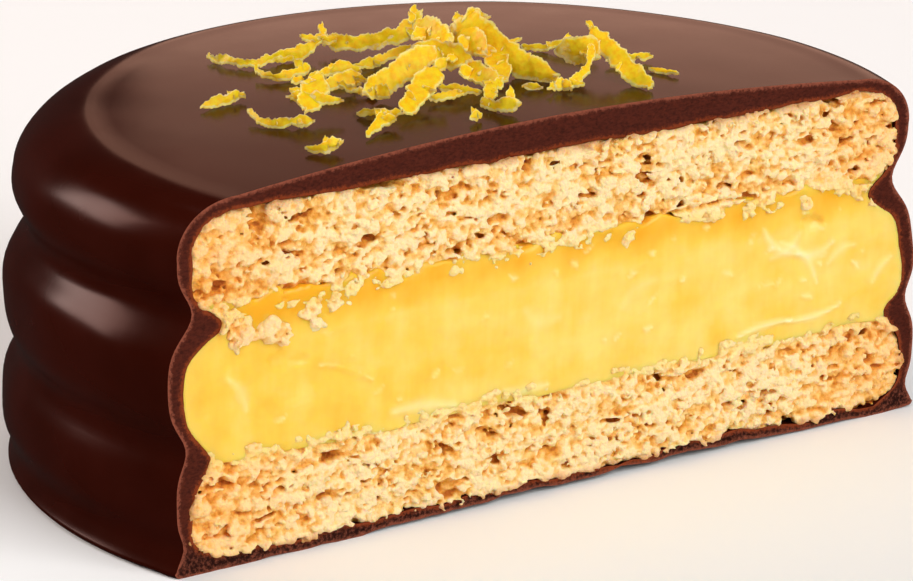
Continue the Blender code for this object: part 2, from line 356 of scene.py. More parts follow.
class Texture:
    """A material under construction: its node tree, its shader and its place in millimetres."""

    def __init__(self, name: str) -> None:
        """Starts a material with a Principled shader."""
        self.material = bpy.data.materials.new(name)
        self.material.use_nodes = True
        self.tree = self.material.node_tree
        self.shader = self.tree.nodes["Principled BSDF"]
        self.place = add_node(self.tree, "ShaderNodeTexCoord").outputs["Object"]

    def add(self, kind: str, inputs: dict | None = None, **settings) -> bpy.types.Node:
        """Adds a node to the material."""
        return add_node(self.tree, kind, inputs, **settings)

    def grain(self, size: tuple[float, float, float], kind: str = "Noise", **inputs) -> bpy.types.Node:
        """A pattern whose features are about a size in metres along each axis."""
        scaled = self.add(
            "ShaderNodeMapping", {"Vector": self.place, "Scale": tuple(1 / s for s in size)}
        )
        values = {"Vector": scaled, "Scale": 1.0}
        values.update({key.replace("_", " ").title(): value for key, value in inputs.items()})
        return self.add(f"ShaderNodeTex{kind}", values)

    def dress(self, **inputs) -> bpy.types.Material:
        """Sets the shader's inputs, with _ for a space and the name's words in title case."""
        for key, value in inputs.items():
            name = {"ior": "IOR", "specular_ior_level": "Specular IOR Level"}.get(
                key, key.replace("_", " ").title()
            )
            socket = self.shader.inputs[name]
            if isinstance(value, bpy.types.Node):
                value = next(s for s in value.outputs if s.enabled)
            if isinstance(value, bpy.types.NodeSocket):
                self.tree.links.new(value, socket)
            else:
                socket.default_value = value
        return self.material


@dataclass(frozen=True)
class PouredChocolate:
    """Couverture poured over the stack and set: smooth, dark and glossy."""

    body: str = "2C0903"
    light: str = "320C05"
    roughness: float = 0.13
    side_roughness: float = 0.2
    gleam: str = "FF9E80"

    def material(self) -> bpy.types.Material:
        """Makes the material. To the eye: broad soft gleams that waver, no visible grain."""
        tex = Texture("poured_chocolate")
        cloud = tex.grain((6 * MM, 6 * MM, 6 * MM), detail=2.0)
        colour = tex.add(
            "ShaderNodeValToRGB",
            {"Fac": cloud},
            stops=[(0.35, linear(self.body)), (0.7, linear(self.light))],
        )
        ripple = tex.grain((6 * MM, 6 * MM, 4 * MM), detail=0.0)
        ripples = tex.add("ShaderNodeBump", {"Height": ripple, "Strength": 0.3, "Distance": 0.2 * MM})
        fine = tex.grain((0.7 * MM,) * 3, detail=2.0)
        skin = tex.add(
            "ShaderNodeBump",
            {"Height": fine, "Strength": 0.15, "Distance": 0.008 * MM, "Normal": ripples},
        )
        height = tex.add("ShaderNodeSeparateXYZ", {"Vector": tex.place})
        side = tex.add(
            "ShaderNodeMapRange",
            {
                "Value": height.outputs["Z"],
                "From Min": 22.5 * MM,
                "From Max": 24.5 * MM,
                "To Min": self.side_roughness,
                "To Max": self.roughness,
            },
        )
        dull = tex.add(
            "ShaderNodeMath",
            {0: tex.grain((3 * MM,) * 3, detail=3.0), 1: 0.1, 2: side},
            operation="MULTIPLY_ADD",
        )
        return tex.dress(
            base_color=colour,
            roughness=dull,
            normal=skin,
            ior=1.46,
            specular_ior_level=0.09,
            specular_tint=linear(self.gleam),
        )


@dataclass(frozen=True)
class CutChocolate:
    """The same couverture where the knife went through: matt, redder, with a fine drag grain."""

    deep: str = "200805"
    dark: str = "34110A"
    body: str = "521F13"
    # the rim colour is also the painted highlight along the sharp outer edge
    rim: str = "8E4C38"
    lining: str = "8A3A18"
    gleam: str = "FFC4B0"

    def material(self) -> bpy.types.Material:
        """Makes the material. To the eye: a dry grainy band with a thin lighter, redder edge, partly its
        own colour and partly a painted highlight.
        """
        tex = Texture("cut_chocolate")
        grain = tex.grain((0.28 * MM, 0.28 * MM, 0.16 * MM), detail=4.0, roughness=0.65)
        colour = tex.add(
            "ShaderNodeValToRGB",
            {"Fac": grain},
            stops=[(0.3, linear(self.dark)), (0.62, linear(self.body))],
        )
        height = tex.add("ShaderNodeSeparateXYZ", {"Vector": tex.place})
        foot = tex.add(
            "ShaderNodeMapRange",
            {
                "Value": height.outputs["Z"],
                "From Min": 1.2 * MM,
                "From Max": 2.4 * MM,
                "To Min": 0.9,
                "To Max": 0.0,
            },
        )
        crystals = tex.add(
            "ShaderNodeValToRGB",
            {"Fac": tex.grain((0.3 * MM,) * 3, detail=4.0, roughness=0.7)},
            stops=[(0.47, linear(self.deep)), (0.72, linear(self.rim))],
        )
        colour = tex.add(
            "ShaderNodeMix", {"Factor": foot, "A": colour, "B": crystals}, data_type="RGBA"
        )
        speckle = tex.grain((0.22 * MM,) * 3, detail=4.0, roughness=0.75)
        # Along the outer edge the rim colour is partly the chocolate's own redder edge and partly a
        # painted highlight standing in for the light the sharp rim would catch.
        for attribute, tint, reach, most in (
            ("edge_mm", self.rim, 0.66, 0.85),
            ("lining_mm", self.lining, 0.72, 0.8),
        ):
            edge = tex.add("ShaderNodeAttribute", attribute_name=attribute)
            ragged = tex.add(
                "ShaderNodeMath", {0: edge.outputs["Fac"], 1: speckle}, operation="ADD"
            )
            near = tex.add(
                "ShaderNodeMapRange",
                {
                    "Value": ragged,
                    "From Min": reach - 0.16,
                    "From Max": reach + 0.16,
                    "To Min": most,
                    "To Max": 0.0,
                },
                interpolation_type="SMOOTHSTEP",
            )
            colour = tex.add(
                "ShaderNodeMix", {"Factor": near, "A": colour, "B": linear(tint)}, data_type="RGBA"
            )
        rough = tex.add("ShaderNodeMath", {0: foot, 1: 0.6, 2: 0.3}, operation="MULTIPLY_ADD")
        drag = tex.add("ShaderNodeBump", {"Height": grain, "Strength": rough, "Distance": 0.08 * MM})
        return tex.dress(
            base_color=colour,
            roughness=0.55,
            normal=drag,
            ior=1.46,
            specular_ior_level=0.25,
            specular_tint=linear(self.gleam),
        )


@dataclass(frozen=True)
class BakedCrumb:
    """Shortbread-like biscuit crumb: pale, dry and open, oranger by the coat, with painted orange shade in
    its holes and clefts and painted highlights on its nodules.
    """

    # pale is a painted highlight on proud nodules; shade and hole are painted shade in clefts and deep
    # holes
    pale: str = "FFDFA8"
    body: str = "F8C672"
    shade: str = "E49A30"
    hole: str = "BC6A14"
    crust: str = "B86A22"
    end: str = "FBCB70"
    soaked: str = "FFD468"

    def material(self) -> bpy.types.Material:
        """Makes the material. To the eye: bright sugary nodules over warm orange shadows."""
        tex = Texture("baked_crumb")
        depth = tex.add("ShaderNodeAttribute", attribute_name="depth_mm")
        crust = tex.add("ShaderNodeAttribute", attribute_name="coat_mm")
        patch = tex.grain((2.2 * MM, 2.2 * MM, 1.3 * MM), detail=4.0, roughness=0.6)
        # Painted light and shade: the deeper a point lies behind the cut and the further it sits in a
        # cleft, the oranger and darker its colour, while proud nodules get a painted highlight.
        hollow = tex.add(
            "ShaderNodeMapRange",
            {"Value": depth.outputs["Fac"], "From Min": -0.35, "From Max": 0.9},
        )
        stands_out = tex.add("ShaderNodeAttribute", attribute_name="relief_mm")
        cleft = tex.add(
            "ShaderNodeMapRange",
            {
                "Value": stands_out.outputs["Fac"],
                "From Min": 0.12,
                "From Max": -0.2,
                "To Min": -0.42,
                "To Max": 0.16,
            },
        )
        painted_light_and_shade = tex.add(
            "ShaderNodeMath", {0: hollow, 1: 0.6, 2: cleft}, operation="MULTIPLY_ADD"
        )
        mottled_and_painted_shading = tex.add(
            "ShaderNodeMath", {0: patch, 1: 1.1, 2: painted_light_and_shade}, operation="MULTIPLY_ADD"
        )
        colour = tex.add(
            "ShaderNodeValToRGB",
            {"Fac": mottled_and_painted_shading},
            stops=[
                (0.41, linear(self.pale)),
                (0.58, linear(self.body)),
                (0.79, linear(self.shade)),
                (0.97, linear(self.hole)),
            ],
        )
        sideways = tex.add("ShaderNodeSeparateXYZ", {"Vector": tex.place})
        from_axis = tex.add("ShaderNodeMath", {0: sideways.outputs["X"]}, operation="ABSOLUTE")
        outermost = tex.add(
            "ShaderNodeMapRange",
            {"Value": from_axis, "From Min": 19 * MM, "From Max": 29 * MM, "To Max": 0.45},
        )
        ends = tex.add(
            "ShaderNodeMix",
            {"Factor": outermost, "A": colour, "B": linear(self.end)},
            data_type="RGBA",
            blend_type="MULTIPLY",
        )
        rough_edge = tex.add(
            "ShaderNodeMath",
            {0: patch, 1: 0.9, 2: crust.outputs["Fac"]},
            operation="MULTIPLY_ADD",
        )
        browned = tex.add(
            "ShaderNodeMapRange",
            {"Value": rough_edge, "From Min": 0.4, "From Max": 0.95, "To Min": 0.75, "To Max": 0.0},
        )
        baked = tex.add(
            "ShaderNodeMix",
            {"Factor": browned, "A": ends, "B": linear(self.crust)},
            data_type="RGBA",
        )
        joint = tex.add("ShaderNodeAttribute", attribute_name="joint_mm")
        wet_edge = tex.add(
            "ShaderNodeMath",
            {0: patch, 1: 2.0, 2: joint.outputs["Fac"]},
            operation="MULTIPLY_ADD",
        )
        wet = tex.add(
            "ShaderNodeMapRange",
            {"Value": wet_edge, "From Min": 0.9, "From Max": 2.1, "To Min": 0.5, "To Max": 0.0},
        )
        baked = tex.add(
            "ShaderNodeMix",
            {"Factor": wet, "A": baked, "B": linear(self.soaked)},
            data_type="RGBA",
        )
        nodules = tex.grain((0.26 * MM,) * 3, kind="Voronoi")
        dust = tex.grain((0.12 * MM,) * 3, detail=2.0)
        coarse = tex.add(
            "ShaderNodeBump",
            {"Height": nodules, "Strength": 0.8, "Distance": 0.14 * MM},
            invert=True,
        )
        fine = tex.add(
            "ShaderNodeBump",
            {"Height": dust, "Strength": 0.5, "Distance": 0.05 * MM, "Normal": coarse},
        )
        return tex.dress(
            base_color=baked,
            roughness=0.85,
            normal=fine,
            subsurface_weight=0.5,
            subsurface_radius=(1.0, 0.45, 0.1),
            subsurface_scale=0.45 * MM,
        )


@dataclass(frozen=True)
class LemonCurdCream:
    """Lemon curd beaten into butter cream: moist, waxy and lit from within."""

    pale: str = "FFDA76"
    body: str = "FFCB4E"
    deep: str = "FAAE1C"
    end: str = "E6C862"
    # ridge is a painted highlight on raised marks and specks
    ridge: str = "FFF0BE"

    def material(self) -> bpy.types.Material:
        """Makes the material. To the eye: smooth warm yellow with faint upright streaks."""
        tex = Texture("lemon_curd_cream")
        streaks = tex.grain((1.6 * MM, 3 * MM, 7 * MM), detail=3.0, roughness=0.5)
        patches = tex.grain((2.6 * MM, 4 * MM, 2.0 * MM), detail=2.0)
        height = tex.add("ShaderNodeSeparateXYZ", {"Vector": tex.place})
        upper = tex.add(
            "ShaderNodeMapRange",
            {
                "Value": height.outputs["Z"],
                "From Min": 14.8 * MM,
                "From Max": 16.8 * MM,
                "To Min": 0.1,
                "To Max": 0.4,
            },
        )
        left = tex.add(
            "ShaderNodeMapRange",
            {
                "Value": height.outputs["X"],
                "From Min": -26 * MM,
                "From Max": -6 * MM,
                "To Min": 0.12,
                "To Max": 0.0,
            },
        )
        base = tex.add("ShaderNodeMath", {0: upper, 1: left}, operation="ADD")
        tone = tex.add("ShaderNodeMath", {0: patches, 1: 0.36, 2: base}, operation="MULTIPLY_ADD")
        toned = tex.add("ShaderNodeMath", {0: streaks, 1: 0.35, 2: tone}, operation="MULTIPLY_ADD")
        colour = tex.add(
            "ShaderNodeValToRGB",
            {"Fac": toned},
            stops=[
                (0.36, linear(self.pale)),
                (0.56, linear(self.body)),
                (0.86, linear(self.deep)),
            ],
        )
        wall = tex.add("ShaderNodeAttribute", attribute_name="coat_mm")
        ends = tex.add(
            "ShaderNodeMapRange",
            {"Value": wall.outputs["Fac"], "From Min": 0.2, "From Max": 1.8, "To Min": 0.4, "To Max": 0.0},
        )
        mixed = tex.add(
            "ShaderNodeMix", {"Factor": ends, "A": colour, "B": linear(self.end)}, data_type="RGBA"
        )
        # Painted highlight: raised marks and specks are mixed towards the pale ridge colour.
        raised = tex.add("ShaderNodeAttribute", attribute_name="raised_mm")
        lit = tex.add(
            "ShaderNodeMath", {0: raised.outputs["Fac"], 1: 3.5}, operation="MULTIPLY", use_clamp=True
        )
        mixed = tex.add(
            "ShaderNodeMix", {"Factor": lit, "A": mixed, "B": linear(self.ridge)}, data_type="RGBA"
        )
        swirl = tex.grain((1.4 * MM, 2 * MM, 0.8 * MM), detail=3.0, roughness=0.5)
        waxy = tex.add("ShaderNodeBump", {"Height": swirl, "Strength": 0.4, "Distance": 0.12 * MM})
        return tex.dress(
            base_color=mixed,
            roughness=0.36,
            normal=waxy,
            ior=1.42,
            subsurface_weight=0.7,
            subsurface_radius=(1.0, 0.55, 0.12),
            subsurface_scale=1.1 * MM,
        )


@dataclass(frozen=True)
class LemonPeel:
    """Grated lemon rind: oily yellow outside, paler where the white pith begins."""

    rind: str = "FFCE1C"
    deep: str = "FFB80E"
    pith: str = "FFE690"

    def material(self) -> bpy.types.Material:
        """Makes the material. To the eye: translucent bright shreds with pale torn edges."""
        tex = Texture("lemon_peel")
        torn = tex.add("ShaderNodeAttribute", attribute_name="torn")
        cells = tex.grain((0.45 * MM,) * 3, detail=3.0)
        rind = tex.add(
            "ShaderNodeValToRGB",
            {"Fac": cells},
            stops=[(0.35, linear(self.deep)), (0.6, linear(self.rind))],
        )
        ragged = tex.add(
            "ShaderNodeMath",
            {0: cells, 1: 0.9, 2: torn.outputs["Fac"]},
            operation="MULTIPLY_ADD",
        )
        edge = tex.add(
            "ShaderNodeMapRange",
            {"Value": ragged, "From Min": 0.9, "From Max": 1.4, "To Min": 0.0, "To Max": 0.9},
        )
        mixed = tex.add(
            "ShaderNodeMix", {"Factor": edge, "A": rind, "B": linear(self.pith)}, data_type="RGBA"
        )
        glands = tex.grain((0.3 * MM,) * 3, kind="Voronoi")
        pores = tex.add("ShaderNodeBump", {"Height": glands, "Strength": 0.5, "Distance": 0.04 * MM})
        return tex.dress(
            base_color=mixed,
            roughness=0.45,
            normal=pores,
            ior=1.42,
            specular_ior_level=0.2,
            subsurface_weight=0.5,
            subsurface_radius=(1.0, 0.6, 0.12),
            subsurface_scale=0.35 * MM,
        )


# --------------------------------------------------------------------------- the coat


@dataclass
class ChocolateCoat:
    """The poured coat: a turned shell round the layers, cut across."""

    form: DiscForm
    segments: int = 200
    rung: float = 0.45 * MM
    band_cuts: int = 7
    drag: float = 0.05 * MM  # how far the knife pushed the cut face in and out
    unevenness: float = 0.3 * MM  # of the inside, and more at the foot

    def outside(self) -> list[tuple[float, float]]:
        """The outside, from the middle of the underside to the crown."""
        form = self.form
        points = [(radius, 0.0) for radius in spread(0.0, 31.2 * MM, 1.2 * MM)]
        points += elbow((form.wall - form.foot, form.foot), (form.foot,) * 2, -90, -15, 4)[1:]
        for height in spread(form.foot, form.shoulder, self.rung):
            points.append((form.outer_radius(height), height))
        rise = form.crown - form.dome_drop - form.shoulder
        reach = (form.wall_radius(form.shoulder) - form.dome_radius, rise)
        points += elbow((form.dome_radius, form.shoulder), reach, 5, 90, 16)
        for radius in reversed(spread(0.0, form.dome_radius, 1.1 * MM)[:-1]):
            points.append((radius, form.top_height(radius)))
        return points

    def inside(self) -> list[tuple[float, float]]:
        """The inside, from the middle of the floor to the middle of the ceiling."""
        form = self.form
        wall = [(form.inner_radius(z), z) for z in spread(form.floor, form.ceiling, self.rung)]
        lower = [(radius, form.floor) for radius in spread(0.0, wall[0][0], 1.2 * MM)[:-1]]
        upper = [(radius, form.ceiling) for radius in spread(0.0, wall[-1][0], 1.1 * MM)[:-1]]
        return lower + wall + list(reversed(upper))

    def cavity(self) -> bmesh.types.BMesh:
        """The closed space inside the coat, slightly uneven, which the layers fill."""
        bm = self.form.turned(self.inside(), self.segments)
        bm.normal_update()
        for vert in bm.verts:
            low = max(0.0, 1 - vert.co.z / (3 * MM))
            rough = 0.7 * drift(vert.co, 2.8 * MM, 8.0) + 0.3 * drift(vert.co, 1.3 * MM, 2.0)
            vert.co += vert.normal * (self.unevenness * (1 + 2.2 * low) * rough)
        return bm

    def opened(self, bm: bmesh.types.BMesh) -> bmesh.types.BMesh:
        """The same turned shell without what lies in front of the cut, open there."""
        bmesh.ops.bisect_plane(
            bm,
            geom=[*bm.verts, *bm.edges, *bm.faces],
            dist=0.001 * MM,
            plane_co=(0.0, CUT_Y, 0.0),
            plane_no=(0.0, -1.0, 0.0),
            clear_outer=True,
        )
        return bm

    def build(self, poured: bpy.types.Material, cut: bpy.types.Material) -> bpy.types.Object:
        """Builds and dresses the coat.

        Args:
            poured: the finish of the outside.
            cut: the finish of the band at the cut.

        Returns:
            The coat.
        """
        bm = self.opened(self.form.turned(self.outside(), self.segments))
        inner = self.opened(self.cavity())
        bmesh.ops.reverse_faces(inner, faces=inner.faces)
        outer_tree, inner_tree = BVHTree.FromBMesh(bm), BVHTree.FromBMesh(inner)
        lining = bpy.data.meshes.new("lining")
        inner.to_mesh(lining)
        inner.free()
        bm.from_mesh(lining)
        bpy.data.meshes.remove(lining)
        rims = [edge for edge in bm.edges if edge.is_boundary]
        band = bmesh.ops.bridge_loops(bm, edges=rims)["faces"]
        for face in band:
            face.material_index = 1
        known = set(rims)
        rungs = {edge for face in band for edge in face.edges if edge not in known}
        bmesh.ops.subdivide_edges(bm, edges=list(rungs), cuts=self.band_cuts, use_grid_fill=True)
        outer_rim = [
            edge
            for edge in bm.edges
            if len(edge.link_faces) == 2
            and {face.material_index for face in edge.link_faces} == {0, 1}
            and outer_tree.find_nearest(edge.verts[0].co)[3] < 0.01 * MM
        ]
        for edge in outer_rim:
            edge.smooth = False
        for vert in bm.verts:
            if all(face.material_index == 1 for face in vert.link_faces):
                rough = drift(vert.co, 0.5 * MM) + 0.8 * drift(vert.co, 1.6 * MM, 5.0)
                vert.co.y += self.drag * rough
        places = [vert.co.copy() for vert in bm.verts]
        coat = add_piece("chocolate_shell", bm, [poured, cut])
        for name, tree in (("edge_mm", outer_tree), ("lining_mm", inner_tree)):
            store_attribute(coat.data, name, [tree.find_nearest(co)[3] / MM for co in places])
        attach(coat, "root")
        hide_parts("chocolate_coat")
        return coat


# --------------------------------------------------------------------------- biscuits and cream


class Crumb(Enum):
    """How a layer's cut face broke."""

    OPEN = "open"  # coarse nodules and deep holes
    SMEARED = "smeared"  # pressed smooth by the knife


@dataclass(frozen=True)
class Mark:
    """A ridge, or with a height below 0 a dent, on a cut face, in millimetres along X and Z.

    The bow is how far the middle of it swings to the left of the line from start to end.
    """

    start: tuple[float, float]
    end: tuple[float, float]
    width: float
    height: float
    bow: float = 0.0

    def rise(self, x: float, z: float) -> float:
        """How far the face stands out because of the mark, in millimetres."""
        ax, az = self.start
        dx, dz = self.end[0] - ax, self.end[1] - az
        length = max(1e-6, math.hypot(dx, dz))
        along = ((x - ax) * dx + (z - az) * dz) / length
        share = min(1.0, max(0.0, along / length))
        aside = ((z - az) * dx - (x - ax) * dz) / length - self.bow * 4 * share * (1 - share)
        away = math.hypot(aside, along - share * length)
        slim = self.width * (1.1 - abs(2 * share - 1) * 0.6)
        return self.height * math.exp(-((away / slim) ** 2))


# What the knife and the crumb left on the cream: curved ridges, smears, dents and a lower lip.
CREAM_MARKS = (
    Mark((-19.6, 12.4), (-15.6, 10.7), 0.24, 0.12, 0.3),
    Mark((-19.0, 11.9), (-16.0, 10.5), 0.9, -0.12, 0.3),
    Mark((-23.2, 13.4), (-20.8, 13.1), 0.55, -0.25),
    Mark((16.6, 15.4), (19.6, 13.2), 0.32, 0.12, -0.5),
    Mark((19.6, 13.2), (22.6, 13.6), 0.4, 0.12, -0.5),
    Mark((18.2, 14.2), (21.4, 10.8), 0.3, 0.10, 0.6),
    Mark((17.4, 13.2), (19.8, 14.6), 0.35, 0.08, -0.3),
    Mark((20.2, 15.4), (21.4, 15.2), 0.6, -0.45),
    Mark((22.4, 12.0), (24.6, 13.0), 0.35, 0.09, 0.4),
    Mark((14.6, 8.1), (19.2, 8.5), 0.24, 0.16, 0.25),
    Mark((18.8, 8.5), (23.6, 8.9), 0.22, 0.16, -0.3),
    Mark((-14.0, 8.2), (-9.0, 7.7), 0.45, 0.12, 0.2),
    Mark((-5.0, 7.9), (-1.5, 7.7), 0.35, 0.12, -0.15),
    Mark((26.4, 10.0), (28.0, 11.6), 0.3, 0.10, 0.2),
    Mark((-26.6, 12.8), (-25.2, 10.4), 0.4, 0.08, 0.3),
    Mark((4.6, 12.0), (7.4, 13.4), 0.5, 0.05, 0.5),
    Mark((-3.4, 13.2), (-0.6, 12.2), 0.6, 0.05, -0.5),
)


def specks(count: int, seed: int) -> tuple[Mark, ...]:
    """Small smears and crumbs of curd, thicker under the upper biscuit.

    Args:
        count: how many.
        seed: for the random numbers.

    Returns:
        The marks.
    """
    chance = random.Random(seed)
    found = []
    for _ in range(count):
        x, z = chance.uniform(-27, 27), 16.4 - 7.5 * chance.random() ** 1.6
        length, turn = chance.uniform(0.15, 0.9), chance.uniform(-0.9, 0.9)
        end = (x + length * math.cos(turn), z + length * math.sin(turn))
        width, height = chance.uniform(0.13, 0.24), chance.uniform(0.05, 0.15)
        found.append(Mark((x, z), end, width, height, chance.uniform(-0.15, 0.15)))
    return tuple(found)


# The gap over the clumps, and hollows under the biscuit's lower edge.
CRUMB_MARKS = (
    Mark((-25.5, 17.4), (-19.0, 17.7), 0.4, -0.5),
    Mark((8.5, 17.9), (12.5, 18.1), 0.25, -0.4),
)

# Clumps of crumb that broke off the upper biscuit into the cream: X, Z and radius in mm.
CLUMPS = (
    (-26.8, 16.7, 1.1),
    (-25.5, 15.7, 1.2),
    (-25.9, 14.9, 0.7),
    (-23.3, 15.6, 1.2),
    (-22.6, 15.0, 0.8),
    (-19.9, 15.8, 1.1),
    (-18.9, 16.4, 1.0),
    (-20.7, 16.5, 0.8),
    (-17.2, 17.0, 1.0),
    (-14.2, 17.3, 0.9),
    (-9.0, 17.0, 0.8),
    (4.9, 16.7, 0.9),
    (15.4, 17.0, 1.0),
    (20.2, 16.9, 0.9),
    (24.8, 16.8, 1.0),
    (26.4, 16.0, 1.0),
)


@dataclass
class FilledLayer:
    """A layer whose front is redrawn from a field, so that it can crumble or smear.

    The field is a distance in millimetres, positive inside: the layer's own wall, met by the
    plane of the cut, with nodules added and holes taken away.
    """

    form: DiscForm
    space: bpy.types.Object  # the space inside the coat
    name: str
    node: str
    slot: str
    low: float
    high: float
    crumb: Crumb
    voxel: float
    proud: float = 0.0  # how far the face stands in front of the cut
    swell: float = 0.3 * MM  # how far the sides reach past the even inside of the coat
    depth: float = 2.2 * MM  # of the redrawn slab behind the cut
    reach: float = 0.5 * MM  # of the slab in front of the cut
    droop: float = 1.6 * MM  # of the slab below the layer
    fray: float = 3.6  # how far the joint with the cream wavers, in millimetres
    ragged: float = 0.16  # how far the crumb wavers against the coat, in millimetres
    spill: float = 0.06  # how far the layer overlaps the coat, in millimetres
    seed: float = 0.0
    marks: tuple[Mark, ...] = ()
    clumps: tuple[tuple[float, float, float], ...] = ()
    adaptivity: float = 0.2

    def profile(self, swell: float) -> list[tuple[float, float]]:
        """The layer's outside, from the middle of its lower face to the middle of its upper."""
        heights = spread(self.low, self.high, 0.5 * MM)
        wall = [(self.form.inner_radius(z) + swell, z) for z in heights]
        lower = [(radius, self.low) for radius in spread(0.0, wall[0][0], 2.5 * MM)[:-1]]
        upper = [(radius, self.high) for radius in spread(0.0, wall[-1][0], 2.5 * MM)[:-1]]
        return lower + wall + list(reversed(upper))

    def place(self, tree: bpy.types.NodeTree, size: tuple[float, float, float]) -> bpy.types.Node:
        """The position counted in features of a size in metres, moved by the layer's seed."""
        position = add_node(tree, "GeometryNodeInputPosition")
        return add_node(
            tree,
            "ShaderNodeVectorMath",
            {0: position, 1: tuple(1 / s for s in size), 2: (self.seed,) * 3},
            operation="MULTIPLY_ADD",
        )

    def wall_distance(self, tree: bpy.types.NodeTree, body: bpy.types.NodeSocket) -> bpy.types.Node:
        """The distance in millimetres from the layer's own surface, positive inside.

        Args:
            tree: the node tree.
            body: the layer's mesh.

        Returns:
            The node with the distance.
        """
        position = add_node(tree, "GeometryNodeInputPosition")
        nearest = add_node(tree, "GeometryNodeProximity", {"Geometry": body}, target_element="FACES")
        facing = add_node(
            tree,
            "GeometryNodeSampleNearestSurface",
            {"Mesh": body, "Value": add_node(tree, "GeometryNodeInputNormal")},
            data_type="FLOAT_VECTOR",
        )
        away = add_node(
            tree, "ShaderNodeVectorMath", {0: position, 1: nearest}, operation="SUBTRACT"
        )
        side = add_node(tree, "ShaderNodeVectorMath", {0: away, 1: facing}, operation="DOT_PRODUCT")
        sign = add_node(tree, "ShaderNodeMath", {0: side.outputs["Value"]}, operation="SIGN")
        distance = add_node(
            tree, "ShaderNodeMath", {0: nearest.outputs["Distance"], 1: -1 / MM}, operation="MULTIPLY"
        )
        return add_node(tree, "ShaderNodeMath", {0: sign, 1: distance}, operation="MULTIPLY")

    def face_distance(self, tree: bpy.types.NodeTree) -> bpy.types.Node:
        """The distance in millimetres behind the layer's front, positive inside."""
        position = add_node(tree, "GeometryNodeInputPosition")
        parts = add_node(tree, "ShaderNodeSeparateXYZ", {0: position})
        return add_node(
            tree,
            "ShaderNodeMath",
            {0: parts.outputs["Y"], 1: 1 / MM, 2: (self.proud - CUT_Y) / MM},
            operation="MULTIPLY_ADD",
        )

    def bumps(
        self, tree: bpy.types.NodeTree, base: bpy.types.Node, size: tuple, height: float
    ) -> bpy.types.Node:
        """Adds rounded nodules with sharp clefts between them.

        Args:
            tree: the node tree.
            base: the distance so far.
            size: the nodules' size in metres along each axis.
            height: how far a nodule stands out, in millimetres.

        Returns:
            The new distance.
        """
        cells = add_node(tree, "ShaderNodeTexVoronoi", {"Vector": self.place(tree, size), "Scale": 1.0})
        centred = add_node(tree, "ShaderNodeMath", {0: 0.5, 1: cells}, operation="SUBTRACT")
        return add_node(
            tree, "ShaderNodeMath", {0: centred, 1: 2 * height, 2: base}, operation="MULTIPLY_ADD"
        )

    def waves(
        self, tree: bpy.types.NodeTree, base: bpy.types.Node, size: tuple, height: float
    ) -> bpy.types.Node:
        """Adds smooth rises and dips of a height in millimetres to the distance so far."""
        cloud = add_node(
            tree,
            "ShaderNodeTexNoise",
            {"Vector": self.place(tree, size), "Scale": 1.0, "Detail": 2.0},
        )
        centred = add_node(tree, "ShaderNodeMath", {0: cloud, 1: 0.5}, operation="SUBTRACT")
        return add_node(
            tree, "ShaderNodeMath", {0: centred, 1: 2 * height, 2: base}, operation="MULTIPLY_ADD"
        )

    def holes(
        self, tree: bpy.types.NodeTree, base: bpy.types.Node, size: tuple, depth: float, share: float
    ) -> bpy.types.Node:
        """Takes steep-sided holes away.

        Args:
            tree: the node tree.
            base: the distance so far.
            size: the holes' size in metres along each axis.
            depth: their depth in millimetres.
            share: the noise level above which there is a hole. Less gives more holes.

        Returns:
            The new distance.
        """
        cloud = add_node(
            tree,
            "ShaderNodeTexNoise",
            {"Vector": self.place(tree, size), "Scale": 1.0, "Detail": 2.0, "Roughness": 0.6},
        )
        pit = add_node(
            tree,
            "ShaderNodeMapRange",
            {"Value": cloud, "From Min": share, "From Max": share + 0.12, "To Min": 0.0, "To Max": depth},
            interpolation_type="SMOOTHSTEP",
        )
        return add_node(tree, "ShaderNodeMath", {0: base, 1: pit}, operation="SUBTRACT")

    def frayed(self, tree: bpy.types.NodeTree, wall: bpy.types.Node) -> bpy.types.Node:
        """Frays the layer's own wall: a little by the coat, much more against the cream.

        Args:
            tree: the node tree.
            wall: the distance from the wall in millimetres.

        Returns:
            The frayed distance.
        """
        position = add_node(tree, "GeometryNodeInputPosition")
        parts = add_node(tree, "ShaderNodeSeparateXYZ", {0: position})
        cream = self.bare_heights()[-1]
        inwards = math.copysign(2.2 * MM, 0.5 * (self.low + self.high) - cream)
        by_cream = add_node(
            tree,
            "ShaderNodeMapRange",
            {"Value": parts.outputs["Z"], "From Min": cream + inwards, "From Max": cream},
        )
        cloud = add_node(
            tree,
            "ShaderNodeTexNoise",
            {
                "Vector": self.place(tree, (2.4 * MM, 2.4 * MM, 2.0 * MM)),
                "Scale": 1.0,
                "Detail": 3.0,
            },
        )
        centred = add_node(tree, "ShaderNodeMath", {0: cloud, 1: 0.5}, operation="SUBTRACT")
        amplitude = add_node(
            tree, "ShaderNodeMath", {0: by_cream, 1: self.fray, 2: 0.5}, operation="MULTIPLY_ADD"
        )
        rise = add_node(tree, "ShaderNodeMath", {0: centred, 1: amplitude}, operation="MULTIPLY")
        kept_in = add_node(
            tree, "ShaderNodeMath", {0: by_cream, 1: 0.1, 2: 0.1}, operation="MULTIPLY_ADD"
        )
        moved = add_node(tree, "ShaderNodeMath", {0: rise, 1: kept_in}, operation="ADD")
        return add_node(tree, "ShaderNodeMath", {0: wall, 1: moved}, operation="ADD")

    def with_clumps(self, tree: bpy.types.NodeTree, base: bpy.types.Node) -> bpy.types.Node:
        """Adds the broken-off clumps, as balls half sunk behind the cut, to the distance so far."""
        position = add_node(tree, "GeometryNodeInputPosition")
        for x, z, radius in self.clumps:
            centre = (x * MM, CUT_Y + 0.6 * radius * MM, z * MM)
            away = add_node(
                tree, "ShaderNodeVectorMath", {0: position, 1: centre}, operation="DISTANCE"
            )
            ball = add_node(
                tree,
                "ShaderNodeMath",
                {0: away.outputs["Value"], 1: -1 / MM, 2: radius},
                operation="MULTIPLY_ADD",
            )
            base = add_node(
                tree, "ShaderNodeMath", {0: base, 1: ball, 2: 0.3}, operation="SMOOTH_MAX"
            )
        return base

